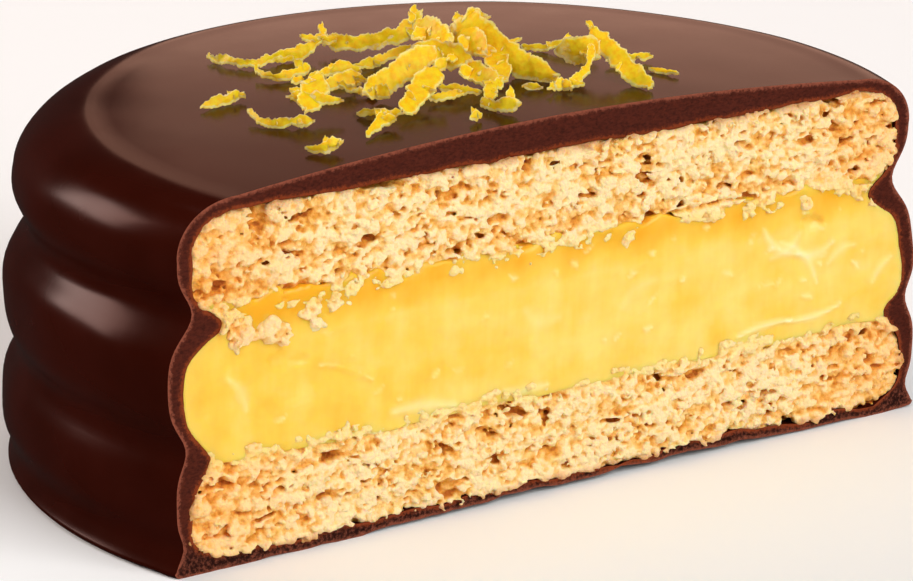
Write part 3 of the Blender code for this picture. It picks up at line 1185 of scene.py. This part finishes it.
    def field(self, tree: bpy.types.NodeTree, body: bpy.types.NodeSocket) -> bpy.types.Node:
        """The whole distance in millimetres, positive inside the layer."""
        wall = self.frayed(tree, self.wall_distance(tree, body))
        face = self.face_distance(tree)
        space = add_node(tree, "GeometryNodeObjectInfo", {"Object": self.space})
        room = self.wall_distance(tree, space.outputs["Geometry"])
        if self.crumb is Crumb.OPEN:
            solid = add_node(
                tree, "ShaderNodeMath", {0: wall, 1: face, 2: 0.5}, operation="SMOOTH_MIN"
            )
            solid = self.waves(tree, solid, (4.5 * MM, 4.5 * MM, 2.6 * MM), 0.55)
            solid = self.holes(tree, solid, (2.6 * MM, 2.4 * MM, 1.3 * MM), 0.9, 0.57)
            solid = self.with_clumps(tree, solid)
            solid = self.waves(tree, solid, (1.8 * MM, 1.8 * MM, 1.3 * MM), 0.52)
            solid = self.holes(tree, solid, (0.9 * MM, 0.9 * MM, 0.6 * MM), 0.35, 0.57)
            solid = self.bumps(tree, solid, (0.8 * MM, 0.8 * MM, 0.7 * MM), 0.28)
            solid = self.bumps(tree, solid, (0.38 * MM, 0.38 * MM, 0.35 * MM), 0.18)
            room = self.bumps(tree, room, (0.8 * MM, 0.8 * MM, 0.8 * MM), self.ragged)
        else:
            solid = add_node(
                tree, "ShaderNodeMath", {0: wall, 1: face, 2: 0.4}, operation="SMOOTH_MIN"
            )
            solid = self.waves(tree, solid, (6 * MM, 6 * MM, 3.5 * MM), 0.30)
            solid = self.waves(tree, solid, (1.5 * MM, 2 * MM, 0.9 * MM), 0.07)
        filled = add_node(tree, "ShaderNodeMath", {0: room, 1: self.spill}, operation="ADD")
        return add_node(tree, "ShaderNodeMath", {0: solid, 1: filled}, operation="MINIMUM")

    def modifier_tree(self) -> bpy.types.NodeTree:
        """The node tree that swaps the layer's body for the surface of its field."""
        tree = bpy.data.node_groups.new(f"{self.name}_field", "GeometryNodeTree")
        for way in ("INPUT", "OUTPUT"):
            tree.interface.new_socket("Geometry", in_out=way, socket_type="NodeSocketGeometry")
        body = add_node(tree, "NodeGroupInput").outputs[0]
        solid = self.field(tree, body)
        share = add_node(
            tree, "ShaderNodeMath", {0: solid, 1: 1.5, 2: 0.5}, operation="MULTIPLY_ADD", use_clamp=True
        )
        wide = self.form.wall + 0.5 * MM
        low = Vector((-wide, CUT_Y - self.reach, self.low - self.droop))
        high = Vector((wide, CUT_Y + self.depth, self.high + 1.0 * MM))
        counts = [math.ceil(side / self.voxel) for side in high - low]
        block = add_node(
            tree,
            "GeometryNodeVolumeCube",
            {
                "Density": share,
                "Min": low,
                "Max": high,
                "Resolution X": counts[0],
                "Resolution Y": counts[1],
                "Resolution Z": counts[2],
            },
        )
        skin = add_node(
            tree,
            "GeometryNodeVolumeToMesh",
            {"Volume": block, "Threshold": 0.5, "Adaptivity": self.adaptivity},
        )
        add_node(tree, "NodeGroupOutput", {0: skin})
        return tree

    def core(self) -> bpy.types.Mesh:
        """The plain rest of the layer, behind the redrawn slab."""
        bm = self.form.turned(self.profile(-0.4 * MM), 72)
        bmesh.ops.bisect_plane(
            bm,
            geom=[*bm.verts, *bm.edges, *bm.faces],
            dist=0.001 * MM,
            plane_co=(0.0, CUT_Y + self.depth - 0.6 * MM, 0.0),
            plane_no=(0.0, -1.0, 0.0),
            clear_outer=True,
        )
        bmesh.ops.holes_fill(bm, edges=[edge for edge in bm.edges if edge.is_boundary], sides=0)
        mesh = bpy.data.meshes.new(f"{self.name}_core")
        bm.to_mesh(mesh)
        bm.free()
        return mesh

    def bare_heights(self) -> tuple[float, ...]:
        """The heights of the layer's faces that touch another layer and not the coat."""
        if self.crumb is Crumb.SMEARED:
            return (self.low, self.high)
        return (self.low if self.low > 0.5 * self.form.crown else self.high,)

    def coated(self, body: bmesh.types.BMesh) -> BVHTree:
        """The faces of the layer's body that lie against the coat, to measure from."""
        bare = self.bare_heights()
        beside = body.copy()
        flat = [
            face
            for face in beside.faces
            if abs(face.normal.z) > 0.9
            and min(abs(face.calc_center_median().z - height) for height in bare) < 1.0 * MM
        ]
        bmesh.ops.delete(beside, geom=flat, context="FACES")
        tree = BVHTree.FromBMesh(beside)
        beside.free()
        return tree

    def build(self, finish: bpy.types.Material) -> bpy.types.Object:
        """Builds and dresses the layer.

        Args:
            finish: its material.

        Returns:
            The layer.
        """
        body = self.form.turned(self.profile(self.swell), 120)
        body.normal_update()
        skin = self.coated(body)
        block = add_piece(f"{self.name}_block", body, [])
        redraw = block.modifiers.new("field", "NODES")
        redraw.node_group = self.modifier_tree()
        evaluated = block.evaluated_get(bpy.context.evaluated_depsgraph_get())
        front = bpy.data.meshes.new_from_object(evaluated)
        bpy.data.objects.remove(block, do_unlink=True)
        bm = bmesh.new()
        bm.from_mesh(front)
        drop_dust(bm, 60)
        for vert in bm.verts:
            if vert.co.y < CUT_Y + 1.2 * MM:
                x, z = vert.co.x / MM, vert.co.z / MM
                vert.co.y -= sum(mark.rise(x, z) for mark in self.marks) * MM
        rest = self.core()
        bm.from_mesh(rest)
        for mesh in (front, rest):
            bpy.data.meshes.remove(mesh)
        places = [vert.co.copy() for vert in bm.verts]
        layer = add_piece(self.name, bm, [finish])
        store_attribute(layer.data, "coat_mm", [skin.find_nearest(co)[3] / MM for co in places])
        # raised_mm carries the cream's painted highlight on its marks
        raised = [sum(m.rise(co.x / MM, co.z / MM) for m in self.marks) for co in places]
        store_attribute(layer.data, "raised_mm", [max(0.0, rise) for rise in raised])
        bare = self.bare_heights()
        beside = [min(abs(co.z - height) for height in bare) / MM for co in places]
        store_attribute(layer.data, "joint_mm", beside)
        # relief_mm and depth_mm carry the crumb's painted highlight and painted shade
        store_attribute(layer.data, "relief_mm", relief(layer.data, 14))
        store_attribute(layer.data, "depth_mm", [(co.y - CUT_Y) / MM for co in places])
        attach(layer, "root")
        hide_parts(self.node)
        log.info("%s: %d faces", self.name, len(layer.data.polygons))
        return layer


# --------------------------------------------------------------------------- the zest


@dataclass(frozen=True)
class Arm:
    """A side arm torn out of a shred: how far along it starts, and the arm's own sizes.

    The turn from the shred's heading is in degrees; length, climb and width in millimetres.
    """

    along: float
    turn: float
    length: float
    climb: float
    width: float


@dataclass(frozen=True)
class Waypoint:
    """A place on a shred's route, in millimetres, with the heading and the width there."""

    place: Vector
    heading: float
    width: float


@dataclass(frozen=True)
class Shred:
    """A shred of peel: a ribbon that starts over the coat and runs on, leg after leg.

    The start is (x, y, height above the coat) and the tip is the width there, in millimetres.
    The heading is in degrees counter-clockwise from +X. A leg has a length, a turn to the left
    in degrees, a climb and the width at its end. Arms are torn out of it, and more ribbons may
    lie in the same knot.
    """

    start: tuple[float, float, float]
    heading: float
    tip: float
    legs: tuple[tuple[float, float, float, float], ...]
    arms: tuple[Arm, ...] = ()
    knot: tuple["Shred", ...] = ()

    def walk(self, stride: float = 0.1) -> list[Waypoint]:
        """Follows the route.

        Args:
            stride: millimetres between two marks.

        Returns:
            The marks, evenly spaced along the route.
        """
        place, heading, width = Vector(self.start), math.radians(self.heading), self.tip
        marks = [Waypoint(place, heading, width)]
        for length, turn, climb, end_width in self.legs:
            steps = max(2, round(length / stride))
            for step in range(1, steps + 1):
                heading += math.radians(turn) / steps
                ahead = Vector((math.cos(heading), math.sin(heading), climb / length))
                place = place + ahead * (length / steps)
                share = step / steps
                grown = (end_width - width) * share * share * (3 - 2 * share)
                marks.append(Waypoint(place, heading, width + grown))
            width = end_width
        return marks

    def ribbons(self) -> list["Shred"]:
        """The shred's own ribbon, then its arms and the rest of its knot, each as a ribbon."""
        marks = self.walk()
        found = [self]
        for arm in self.arms:
            root = marks[round(arm.along * (len(marks) - 1))]
            half = 0.5 * arm.length
            legs = (
                (half, 12.0, 0.6 * arm.climb, arm.width),
                (half, -20.0, 0.4 * arm.climb, 0.45 * arm.width),
            )
            heading = math.degrees(root.heading) + arm.turn
            found.append(Shred(tuple(root.place), heading, 0.8 * arm.width, legs))
        for other in self.knot:
            found += other.ribbons()
        return found


SHREDS = (
    Shred(  # the long one at the back left, ending in a small star
        (-12, 16, 0.5), -88, 0.3,
        ((2, 5, 0, 0.5), (1.5, 5, 0, 0.35), (1.5, 75, 0, 0.4), (3, -10, 0.2, 0.85), (1.8, 0, 0.9, 0.4)),
        (Arm(0.98, 70, 1.3, 0.7, 0.5), Arm(0.97, -25, 1.2, -0.1, 0.5), Arm(0.95, 160, 1.2, 0.4, 0.5)),
    ),
    Shred(  # the broad strap at the back
        (-5.3, 12.3, 1), -75, 0.5,
        ((2, 15, 0, 1.0), (2, 30, 0.1, 0.95), (2.2, 25, 0.4, 1.0), (1.5, 10, 1.2, 0.9)),
        (Arm(0.95, 60, 0.9, 0.7, 0.6), Arm(0.3, 120, 0.6, 0.2, 0.5), Arm(0.85, -80, 0.8, -0.3, 0.6)),
    ),
    Shred(  # the strap in its shade
        (-6.2, 6.5, 0.4), -15, 0.3,
        ((1.2, 5, 0.1, 0.65), (1.5, 5, 0.3, 0.6), (1.5, 0, 0.4, 0.4)),
        (Arm(0.3, -70, 0.6, -0.1, 0.4),),
    ),
    Shred(  # the curl at the left
        (-12.2, 9.5, 0.6), -95, 0.25,
        ((1.5, 20, -0.1, 0.3), (1.3, 75, 0, 0.4), (1.4, 25, 0.1, 0.65), (0.8, 10, 0.1, 0.5)),
        (Arm(0.85, 70, 0.7, 0.4, 0.5), Arm(0.0, 150, 0.5, 0.3, 0.25), Arm(0.5, 80, 0.5, 0.2, 0.3)),
    ),
    Shred(  # the upper arm of the left knot
        (-10.6, 5.4, 0.6), 0, 0.35,
        ((1.2, 0, 0.1, 0.45), (1.4, -10, 0.2, 0.85), (1.2, -50, -0.3, 0.45)),
        (Arm(0.45, 60, 0.5, 0.3, 0.4), Arm(0.1, -60, 0.8, 0, 0.4)),
    ),
    Shred(  # its lower arm
        (-11.7, 3, 0.7), -12, 0.4,
        ((1.2, 0, 0.1, 0.85), (1.4, 5, 0.2, 1.0), (0.4, 0, 0, 0.7)),
        (Arm(0.45, -60, 1.9, -0.4, 0.4), Arm(0.9, -50, 0.9, -0.2, 0.4)),
    ),
    Shred(  # the broad flake that stands up
        (-15.6, -1.4, 0.9), 35, 0.9,
        ((1.0, 0, 0.4, 1.7), (1.2, 10, 0.5, 1.8), (1.1, 5, 0.6, 0.8)),
        (Arm(0.4, 105, 1.5, 0.1, 0.8), Arm(0.4, -75, 2.1, -0.3, 0.7), Arm(0.8, 110, 0.7, 0.1, 0.5)),
    ),
    Shred(  # the curl in front of it
        (-17.9, 1.7, 0.7), -95, 0.3,
        ((1.8, 10, -0.3, 0.4), (1.0, 40, 0, 0.5), (1.6, 10, 0.1, 0.55), (0.8, 5, 0, 0.25)),
        (Arm(0.55, 60, 0.5, 0.1, 0.3), Arm(0.8, -50, 0.5, 0, 0.3)),
    ),
    Shred(  # the small one at the front left
        (-18.7, -6.4, 0.4), -60, 0.25,
        ((0.8, 15, 0, 0.4), (0.8, 30, 0.2, 0.7), (0.7, 10, 0.1, 0.6)),
        (Arm(0.6, 85, 0.7, 0.4, 0.35), Arm(0.9, 70, 0.4, 0.1, 0.4)),
    ),
    Shred(  # the small one at the far left
        (-18.9, 5.6, 0.4), 10, 0.2,
        ((1.0, -20, 0.1, 0.5), (1.0, 10, 0, 0.5), (1.0, 5, 0.1, 0.35)),
        (Arm(0.75, 80, 0.5, 0.2, 0.3), Arm(0.95, -60, 0.5, -0.1, 0.25)),
    ),
    Shred(  # the broad strap left of the heap's middle
        (-10.4, -0.6, 0.9), -3, 0.9,
        ((1.2, 0, 0.2, 1.7), (1.6, 5, 0.6, 1.6), (1.8, 0, 0.7, 1.7), (1.2, 5, 0.4, 1.1)),
        (Arm(0.15, -75, 1.3, -0.3, 0.9), Arm(0.05, 140, 0.7, 0, 0.5), Arm(0.6, 80, 0.9, 0.4, 0.8),
         Arm(0.1, 60, 0.9, 0.2, 0.5)),
    ),
    Shred(  # the tall strap, with a horn, a round lobe and a thin spur
        (0.2, 3.8, 3.1), -80, 2.1,
        ((1.8, 5, -0.4, 2.1), (2.2, 5, -0.9, 1.7), (2.2, 5, -1.1, 1.6), (1.8, 10, -0.8, 1.0)),
        (Arm(0.1, 150, 1.8, 0.5, 0.6), Arm(0.08, 55, 1.6, 0.4, 1.5), Arm(0.5, 60, 1.3, 0.6, 0.3),
         Arm(0.7, 70, 0.9, 0.2, 0.7), Arm(0.95, 20, 0.9, -0.1, 0.5)),
    ),
    Shred(  # the strap that comes down at the front
        (-5.3, -1.9, 2), -150, 0.9,
        ((1.2, 0, -0.3, 1.6), (1.8, 5, -0.5, 1.6), (1.5, -5, -0.4, 1.3), (1.2, 0, -0.2, 0.7)),
        (Arm(0.05, 150, 1.0, 0.5, 0.8), Arm(0.7, -90, 0.7, 0.4, 0.5), Arm(0.5, 90, 0.8, 0, 0.6)),
    ),
    Shred(  # its torn tail
        (-11.1, -5.1, 0.9), -150, 0.8,
        ((1.0, -10, -0.2, 1.1), (1.3, 10, -0.2, 0.55), (1.2, 0, -0.2, 0.3)),
        (Arm(0.25, -95, 0.9, 0.4, 0.5), Arm(0.35, 110, 0.9, 0, 0.5), Arm(0.1, 100, 0.7, 0.1, 0.4)),
    ),
    Shred(  # the thin one left of the tail
        (-12.1, -2.7, 0.4), -62, 0.25, ((0.7, 5, 0, 0.35), (0.6, 5, 0, 0.25)),
    ),
    Shred(  # two thin ones that lie at the front
        (-5.7, -2.6, 0.9), -45, 0.3,
        ((1.0, 5, -0.1, 0.5), (1.7, 5, -0.2, 0.35)),
        (Arm(0.5, 70, 0.5, 0.1, 0.3),),
        (Shred((-6.9, -3.2, 0.5), -12, 0.3, ((1.2, 0, 0, 0.5), (1.4, 5, 0.1, 0.4))),),
    ),
    Shred(  # the scrap at the front
        (-7, -8, 0.4), 0, 0.2,
        ((0.4, 0, 0.1, 0.5), (0.6, 0, 0, 0.25)),
        (Arm(0.5, 90, 0.4, 0.3, 0.35),),
    ),
    Shred(  # the chunk at the front, with an upright spur
        (-4.6, -5.6, 0.5), -80, 0.35,
        ((1.1, 5, 0, 0.5), (1.0, 20, 0.2, 0.95), (0.8, 30, 0.1, 0.8)),
        (Arm(0.85, 95, 0.8, 0.8, 0.4), Arm(0.3, 60, 0.4, 0.1, 0.3)),
        (Shred((-1.4, -3.6, 0.9), -155, 0.6,
               ((1.4, 10, -0.1, 0.9), (1.2, 20, -0.2, 0.8), (0.9, 20, -0.1, 0.5)),
               (Arm(0.35, -70, 0.7, 0.3, 0.5), Arm(0.6, 70, 0.5, 0, 0.4))),),
    ),
    Shred(  # the curl like a U, right of the heap, with its torn foot
        (1.8, -5.3, 0.5), -15, 0.7,
        ((1.3, 20, 0, 0.6), (1.5, 25, 0.5, 0.45), (1.4, 15, 0.7, 0.45), (0.8, 10, 0.6, 0.5)),
        (Arm(0.1, -75, 0.9, 0, 0.7), Arm(0.25, -45, 1.0, 0, 0.5), Arm(0.0, -150, 0.8, 0, 0.5)),
    ),
    Shred(  # the thin one behind it
        (6, 4.4, 0.4), -30, 0.3,
        ((1.4, 0, 0, 0.35), (1.4, -5, 0.2, 0.5), (1.4, 0, 0.3, 0.5), (1.1, 0, 0.3, 0.4)),
        (Arm(0.6, 80, 0.8, 0.5, 0.6), Arm(0.35, 70, 0.4, 0.1, 0.3)),
    ),
    Shred(  # the strap that falls to the right, with the torn bulge beside it
        (7.2, -2, 3), -93, 0.6,
        ((1.4, 5, -0.7, 1.1), (1.6, 5, -0.8, 1.35), (1.6, 5, -0.7, 1.25), (1.4, 5, -0.4, 0.5)),
        (Arm(0.0, 170, 0.8, 0.3, 0.5), Arm(0.55, -80, 0.9, -0.3, 0.4), Arm(0.2, 80, 0.8, 0.1, 0.5)),
        (Shred((4.9, -1.2, 1.5), -55, 0.9,
               ((1.0, 0, 0.2, 1.8), (1.1, 0, 0.1, 1.8), (1.0, -5, -0.1, 1.2)),
               (Arm(0.2, 110, 0.9, 0.5, 0.6), Arm(0.6, -70, 0.6, -0.2, 0.5))),),
    ),
    Shred(  # the thin one at the right
        (9, -1.6, 0.5), -5, 0.4,
        ((1.3, 0, 0, 0.6), (1.2, 5, 0, 0.4), (1.1, 5, 0, 0.25)),
        (Arm(0.65, 50, 0.6, 0, 0.3),),
        (Shred((10.8, -3.9, 0.3), -65, 0.25, ((1.0, 0, 0, 0.35), (1.0, 5, 0, 0.2))),),
    ),
    Shred(  # the middle of the heap
        (-1.6, 6.4, 2.6), -95, 0.9,
        ((1.6, 0, 0, 1.8), (1.8, 0, -0.2, 1.9), (1.4, 0, -0.2, 1.4)),
        (Arm(0.05, 170, 0.9, 0.6, 0.6), Arm(0.5, 80, 1.2, 0.2, 1.0), Arm(0.4, -90, 1.3, -0.2, 0.9),
         Arm(0.8, -60, 1.0, -0.3, 0.8)),
        (
            Shred((0.2, 4.6, 2.5), -98, 1.0,
                  ((1.6, 0, 0, 1.9), (1.8, 5, -0.3, 1.8), (1.4, 0, -0.4, 1.0)),
                  (Arm(0.6, -85, 1.2, -0.2, 0.9), Arm(0.9, 60, 0.9, -0.2, 0.7))),
            Shred((-4.2, 2.8, 2.0), -55, 0.8,
                  ((1.4, 0, 0, 1.6), (1.6, 5, -0.2, 1.6), (1.2, 0, -0.3, 0.8)),
                  (Arm(0.5, 90, 0.9, 0.3, 0.8), Arm(0.7, -80, 0.9, -0.2, 0.7))),
        ),
    ),
    Shred(  # the knot under it
        (-1.8, 0.4, 1.1), -83, 0.9,
        ((1.2, 0, -0.2, 1.4), (1.2, 0, -0.2, 1.2), (1.2, 5, -0.1, 0.8)),
        (Arm(0.5, 70, 1.3, -0.1, 0.8), Arm(0.85, 60, 0.9, 0, 0.5), Arm(0.3, -90, 1.2, 0.1, 0.8)),
        (
            Shred((0.9, 0.6, 1.5), -112, 0.8,
                  ((1.3, 0, -0.2, 1.5), (1.5, 5, -0.4, 1.3), (0.8, 0, -0.2, 0.6)),
                  (Arm(0.5, 80, 0.8, -0.2, 0.6),)),
        ),
    ),
)

# Loose scraps of peel around the heap.
SCRAPS = (
    Shred((-11.4, 6.1, 0.3), 10, 0.3, ((0.6, 0, 0, 0.5), (0.4, 0, 0, 0.25))),
    Shred((-13, 4.2, 0.3), 5, 0.2, ((0.5, 0, 0, 0.4), (0.5, 0, 0, 0.2))),
    Shred((-9, 3.1, 0.3), -30, 0.25, ((0.7, 0, 0, 0.35),)),
    Shred((-9.4, 0.6, 0.3), -40, 0.25, ((0.7, 10, 0, 0.4),)),
    Shred((0.1, -4, 0.3), -25, 0.2, ((0.6, 0, 0, 0.35), (0.6, 0, 0, 0.25))),
)


@dataclass
class ZestHeap:
    """The heap of lemon zest on top: ragged ribbons that mostly turn one face to the front left."""

    form: DiscForm
    facing: Vector = field(default_factory=lambda: Vector((-0.55, -0.77, 0.32)))
    thickness: float = 0.16 * MM
    station: float = 0.09 * MM  # between cross-sections
    across: int = 9  # cells across a ribbon
    teeth: float = 0.22 * MM  # how far the torn edges waver
    crumple: float = 0.08 * MM
    clearance: float = 0.12 * MM  # of a ribbon's lower edge over the coat

    def resting(self, mark: Waypoint) -> Vector:
        """Where a mark lies in metres, its height counted from the underside.

        Args:
            mark: the mark on a shred's route.

        Returns:
            The place, raised where the ribbon would otherwise dip into the coat.
        """
        point = mark.place * MM
        point.z = max(point.z, 0.47 * mark.width * MM + self.clearance)
        point.z += self.form.top_height((point.xy - self.form.slip(self.form.crown).xy).length)
        return point

    def ribbon(self, shred: Shred, seed: float) -> tuple[bmesh.types.BMesh, list[float]]:
        """Makes the shape of one ribbon.

        Args:
            shred: the route and its widths.
            seed: sets its raggedness apart from the others'.

        Returns:
            The closed ribbon, and how near each vertex is to a torn edge, from 0 to 1.
        """
        marks = shred.walk()
        places = [self.resting(mark) for mark in marks]
        last = len(marks) - 1
        length = sum((b - a).length for a, b in zip(places, places[1:]))
        stations = max(6, round(length / self.station))
        bm = bmesh.new()
        bmesh.ops.create_grid(bm, x_segments=stations, y_segments=self.across, size=0.5)
        torn = {}
        for vert in bm.verts:
            along, across = min(1.0, max(0.0, vert.co.x + 0.5)), 2 * vert.co.y
            index = min(int(along * last), last - 1)
            share = along * last - index
            centre = places[index].lerp(places[index + 1], share)
            forward = (places[min(last, index + 3)] - places[max(0, index - 2)]).normalized()
            width = marks[index].width + (marks[index + 1].width - marks[index].width) * share
            width *= MM
            spot = Vector((along * length, seed, 0.0))
            side = self.facing.cross(forward).normalized()
            lean = 0.6 * drift(spot, 2.0 * MM, seed)
            normal = forward.cross(side)
            side, normal = (
                side * math.cos(lean) + normal * math.sin(lean),
                normal * math.cos(lean) - side * math.sin(lean),
            )
            edge = Vector((along * length, math.copysign(2 * MM, across), 0.0))
            bite = drift(edge, 0.7 * MM, seed) + 0.7 * drift(edge, 0.2 * MM, seed + 2)
            reach = 0.5 * width + self.teeth * bite * min(1.0, 2.2 * width / MM)
            from_end = min(along, 1 - along) * length / (0.45 * width)
            reach *= math.sqrt(min(1.0, 0.1 + from_end))
            bow = (0.03 + 0.22 * drift(spot, 1.6 * MM, seed + 9)) * (0.5 - across**2) * width
            fringe = Vector((across * width, seed, 3 * MM))
            pulled = 2.2 * self.teeth * drift(fringe, 0.3 * MM, seed + 5) * max(0.0, 1 - from_end)
            vert.co = centre + side * across * reach + normal * bow + forward * pulled
            ripple = Vector([drift(vert.co, 0.55 * MM, seed + shift) for shift in (0, 4, 8)])
            vert.co += ripple * self.crumple
            torn[vert] = max(abs(across) ** 3, 1 - min(1.0, from_end))
        bmesh.ops.solidify(bm, geom=bm.faces[:], thickness=self.thickness)
        bmesh.ops.recalc_face_normals(bm, faces=bm.faces)
        if bm.calc_volume(signed=True) < 0.0:
            bmesh.ops.reverse_faces(bm, faces=bm.faces)
        for line in bm.edges:
            line.smooth = line.calc_face_angle(0.0) < 0.8
        return bm, [torn.get(vert, 0.6) for vert in bm.verts]

    def piece(
        self, name: str, ribbons: list[Shred], seed: float, peel: bpy.types.Material
    ) -> bpy.types.Object:
        """Joins ribbons into one piece.

        Args:
            name: the piece's name.
            ribbons: its ribbons.
            seed: sets its raggedness apart.
            peel: the material.

        Returns:
            The piece.
        """
        whole, torn = bmesh.new(), []
        for number, shred in enumerate(ribbons):
            bm, edges = self.ribbon(shred, seed + 0.13 * number)
            part = bpy.data.meshes.new("ribbon")
            bm.to_mesh(part)
            bm.free()
            whole.from_mesh(part)
            bpy.data.meshes.remove(part)
            torn += edges
        piece = add_piece(name, whole, [peel])
        store_attribute(piece.data, "torn", torn)
        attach(piece, "root")
        return piece

    def build(self, peel: bpy.types.Material) -> list[bpy.types.Object]:
        """Builds and dresses the heap.

        Args:
            peel: the material.

        Returns:
            The shreds, and the loose scraps as the last piece.
        """
        pieces = []
        for number, shred in enumerate(SHREDS, start=1):
            piece = self.piece(f"shred_{number:02d}", shred.ribbons(), 0.37 * number, peel)
            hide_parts(f"zest_{number:02d}")
            pieces.append(piece)
        pieces.append(self.piece("peel_scraps", list(SCRAPS), 20.3, peel))
        log.info("zest: %d faces", sum(len(piece.data.polygons) for piece in pieces))
        return pieces


# --------------------------------------------------------------------------- the studio


@dataclass(frozen=True)
class SoftBox:
    """A square studio light that looks at the cookie."""

    name: str
    place: tuple[float, float, float]
    size: float
    power: float
    colour: tuple[float, float, float] = (1.0, 1.0, 1.0)

    def build(self) -> None:
        """Adds the light."""
        data = bpy.data.lights.new(self.name, "AREA")
        data.size, data.energy, data.color = self.size, self.power, self.colour
        light = bpy.data.objects.new(self.name, data)
        light.location = self.place
        aim = Vector((0.0, 0.0, 0.012)) - light.location
        light.rotation_euler = aim.to_track_quat("-Z", "Y").to_euler()
        bpy.context.scene.collection.objects.link(light)


@dataclass
class Studio:
    """A plain pale floor, soft light and the camera."""

    camera_place: Vector = field(default_factory=lambda: Vector((-181.73, -252.27, 114.5)) * MM)
    camera_target: Vector = field(default_factory=lambda: Vector((-0.07, 2.93, 10.48)) * MM)
    camera_roll: float = math.radians(1.02)
    lens: float = 190.1
    lights: tuple[SoftBox, ...] = (
        SoftBox("key", (0.25, -1.0, 0.75), 0.9, 14.0),
        SoftBox("rim", (-0.58, 0.80, 0.40), 0.42, 8.0, (1.0, 0.86, 0.80)),
        SoftBox("panel", (0.98, 0.95, 0.45), 0.95, 3.2, (1.0, 0.53, 0.37)),
        SoftBox("fill", (-0.9, -0.55, 0.6), 1.0, 3.0),
        SoftBox("overhead", (0.1, 0.2, 1.5), 1.4, 6.0),
    )

    def add_floor(self) -> None:
        """Adds the floor: painted board, white and matt."""
        bm = bmesh.new()
        bmesh.ops.create_grid(bm, x_segments=1, y_segments=1, size=3.0)
        bmesh.ops.translate(bm, vec=(0.0, 0.0, -0.03 * MM), verts=bm.verts)
        tex = Texture("painted_board")
        finish = tex.dress(base_color=linear("FBFBFA"), roughness=0.9)
        floor = add_piece("floor", bm, [finish])
        floor.visible_glossy = False  # dark surroundings keep the chocolate's gleams clear

    def add_camera(self) -> None:
        """Adds the camera, rolled a little about its own axis."""
        back = (self.camera_place - self.camera_target).normalized()
        right = Vector((0.0, 0.0, 1.0)).cross(back).normalized()
        up = back.cross(right)
        c, s = math.cos(self.camera_roll), math.sin(self.camera_roll)
        right, up = c * right + s * up, c * up - s * right
        data = bpy.data.cameras.new("camera")
        data.sensor_width, data.lens = 36.0, self.lens
        data.clip_start, data.clip_end = 0.01, 20.0
        camera = bpy.data.objects.new("camera", data)
        turn = Matrix((right, up, back)).transposed().to_4x4()
        camera.matrix_world = Matrix.Translation(self.camera_place) @ turn
        bpy.context.scene.collection.objects.link(camera)
        bpy.context.scene.camera = camera

    def build(self) -> None:
        """Builds the whole studio."""
        scene = bpy.context.scene
        scene.view_settings.view_transform = "Standard"
        world = bpy.data.worlds.new("studio")
        world.use_nodes = True
        sky = world.node_tree.nodes["Background"]
        sky.inputs["Color"].default_value = (1.0, 0.93, 0.88, 1.0)
        sky.inputs["Strength"].default_value = 0.04
        scene.world = world
        self.add_floor()
        self.add_camera()
        for light in self.lights:
            light.build()


# --------------------------------------------------------------------------- the whole


def main() -> None:
    """Builds the looks of the cookie and its studio."""
    logging.basicConfig(level=logging.INFO, format="%(message)s")
    form = DiscForm()
    Studio().build()
    coat = ChocolateCoat(form)
    coat.build(PouredChocolate().material(), CutChocolate().material())
    space = add_piece("space_inside", coat.cavity(), [])
    crumb = BakedCrumb().material()
    FilledLayer(
        form, space, "lower_biscuit", "bottom_biscuit", "baked_biscuit", 0.5 * MM, 7.5 * MM,
        Crumb.OPEN, 0.13 * MM, proud=0.1 * MM, seed=2.0, fray=1.8, ragged=0.3, spill=0.16,
    ).build(crumb)
    FilledLayer(
        form, space, "upper_biscuit", "top_biscuit", "baked_biscuit", 17.1 * MM, 24.0 * MM,
        Crumb.OPEN, 0.13 * MM, proud=0.1 * MM, droop=3.0 * MM, seed=7.0,
        marks=CRUMB_MARKS, clumps=CLUMPS,
    ).build(crumb)
    FilledLayer(
        form, space, "curd_filling", "lemon_cream", "lemon_curd_cream", 7.0 * MM, 17.6 * MM,
        Crumb.SMEARED, 0.2 * MM, fray=2.2, seed=1.0, marks=CREAM_MARKS + specks(46, 4),
        adaptivity=0.0,
    ).build(LemonCurdCream().material())
    bpy.data.objects.remove(space, do_unlink=True)
    ZestHeap(form).build(LemonPeel().material())


if __name__ == "__main__":
    main()
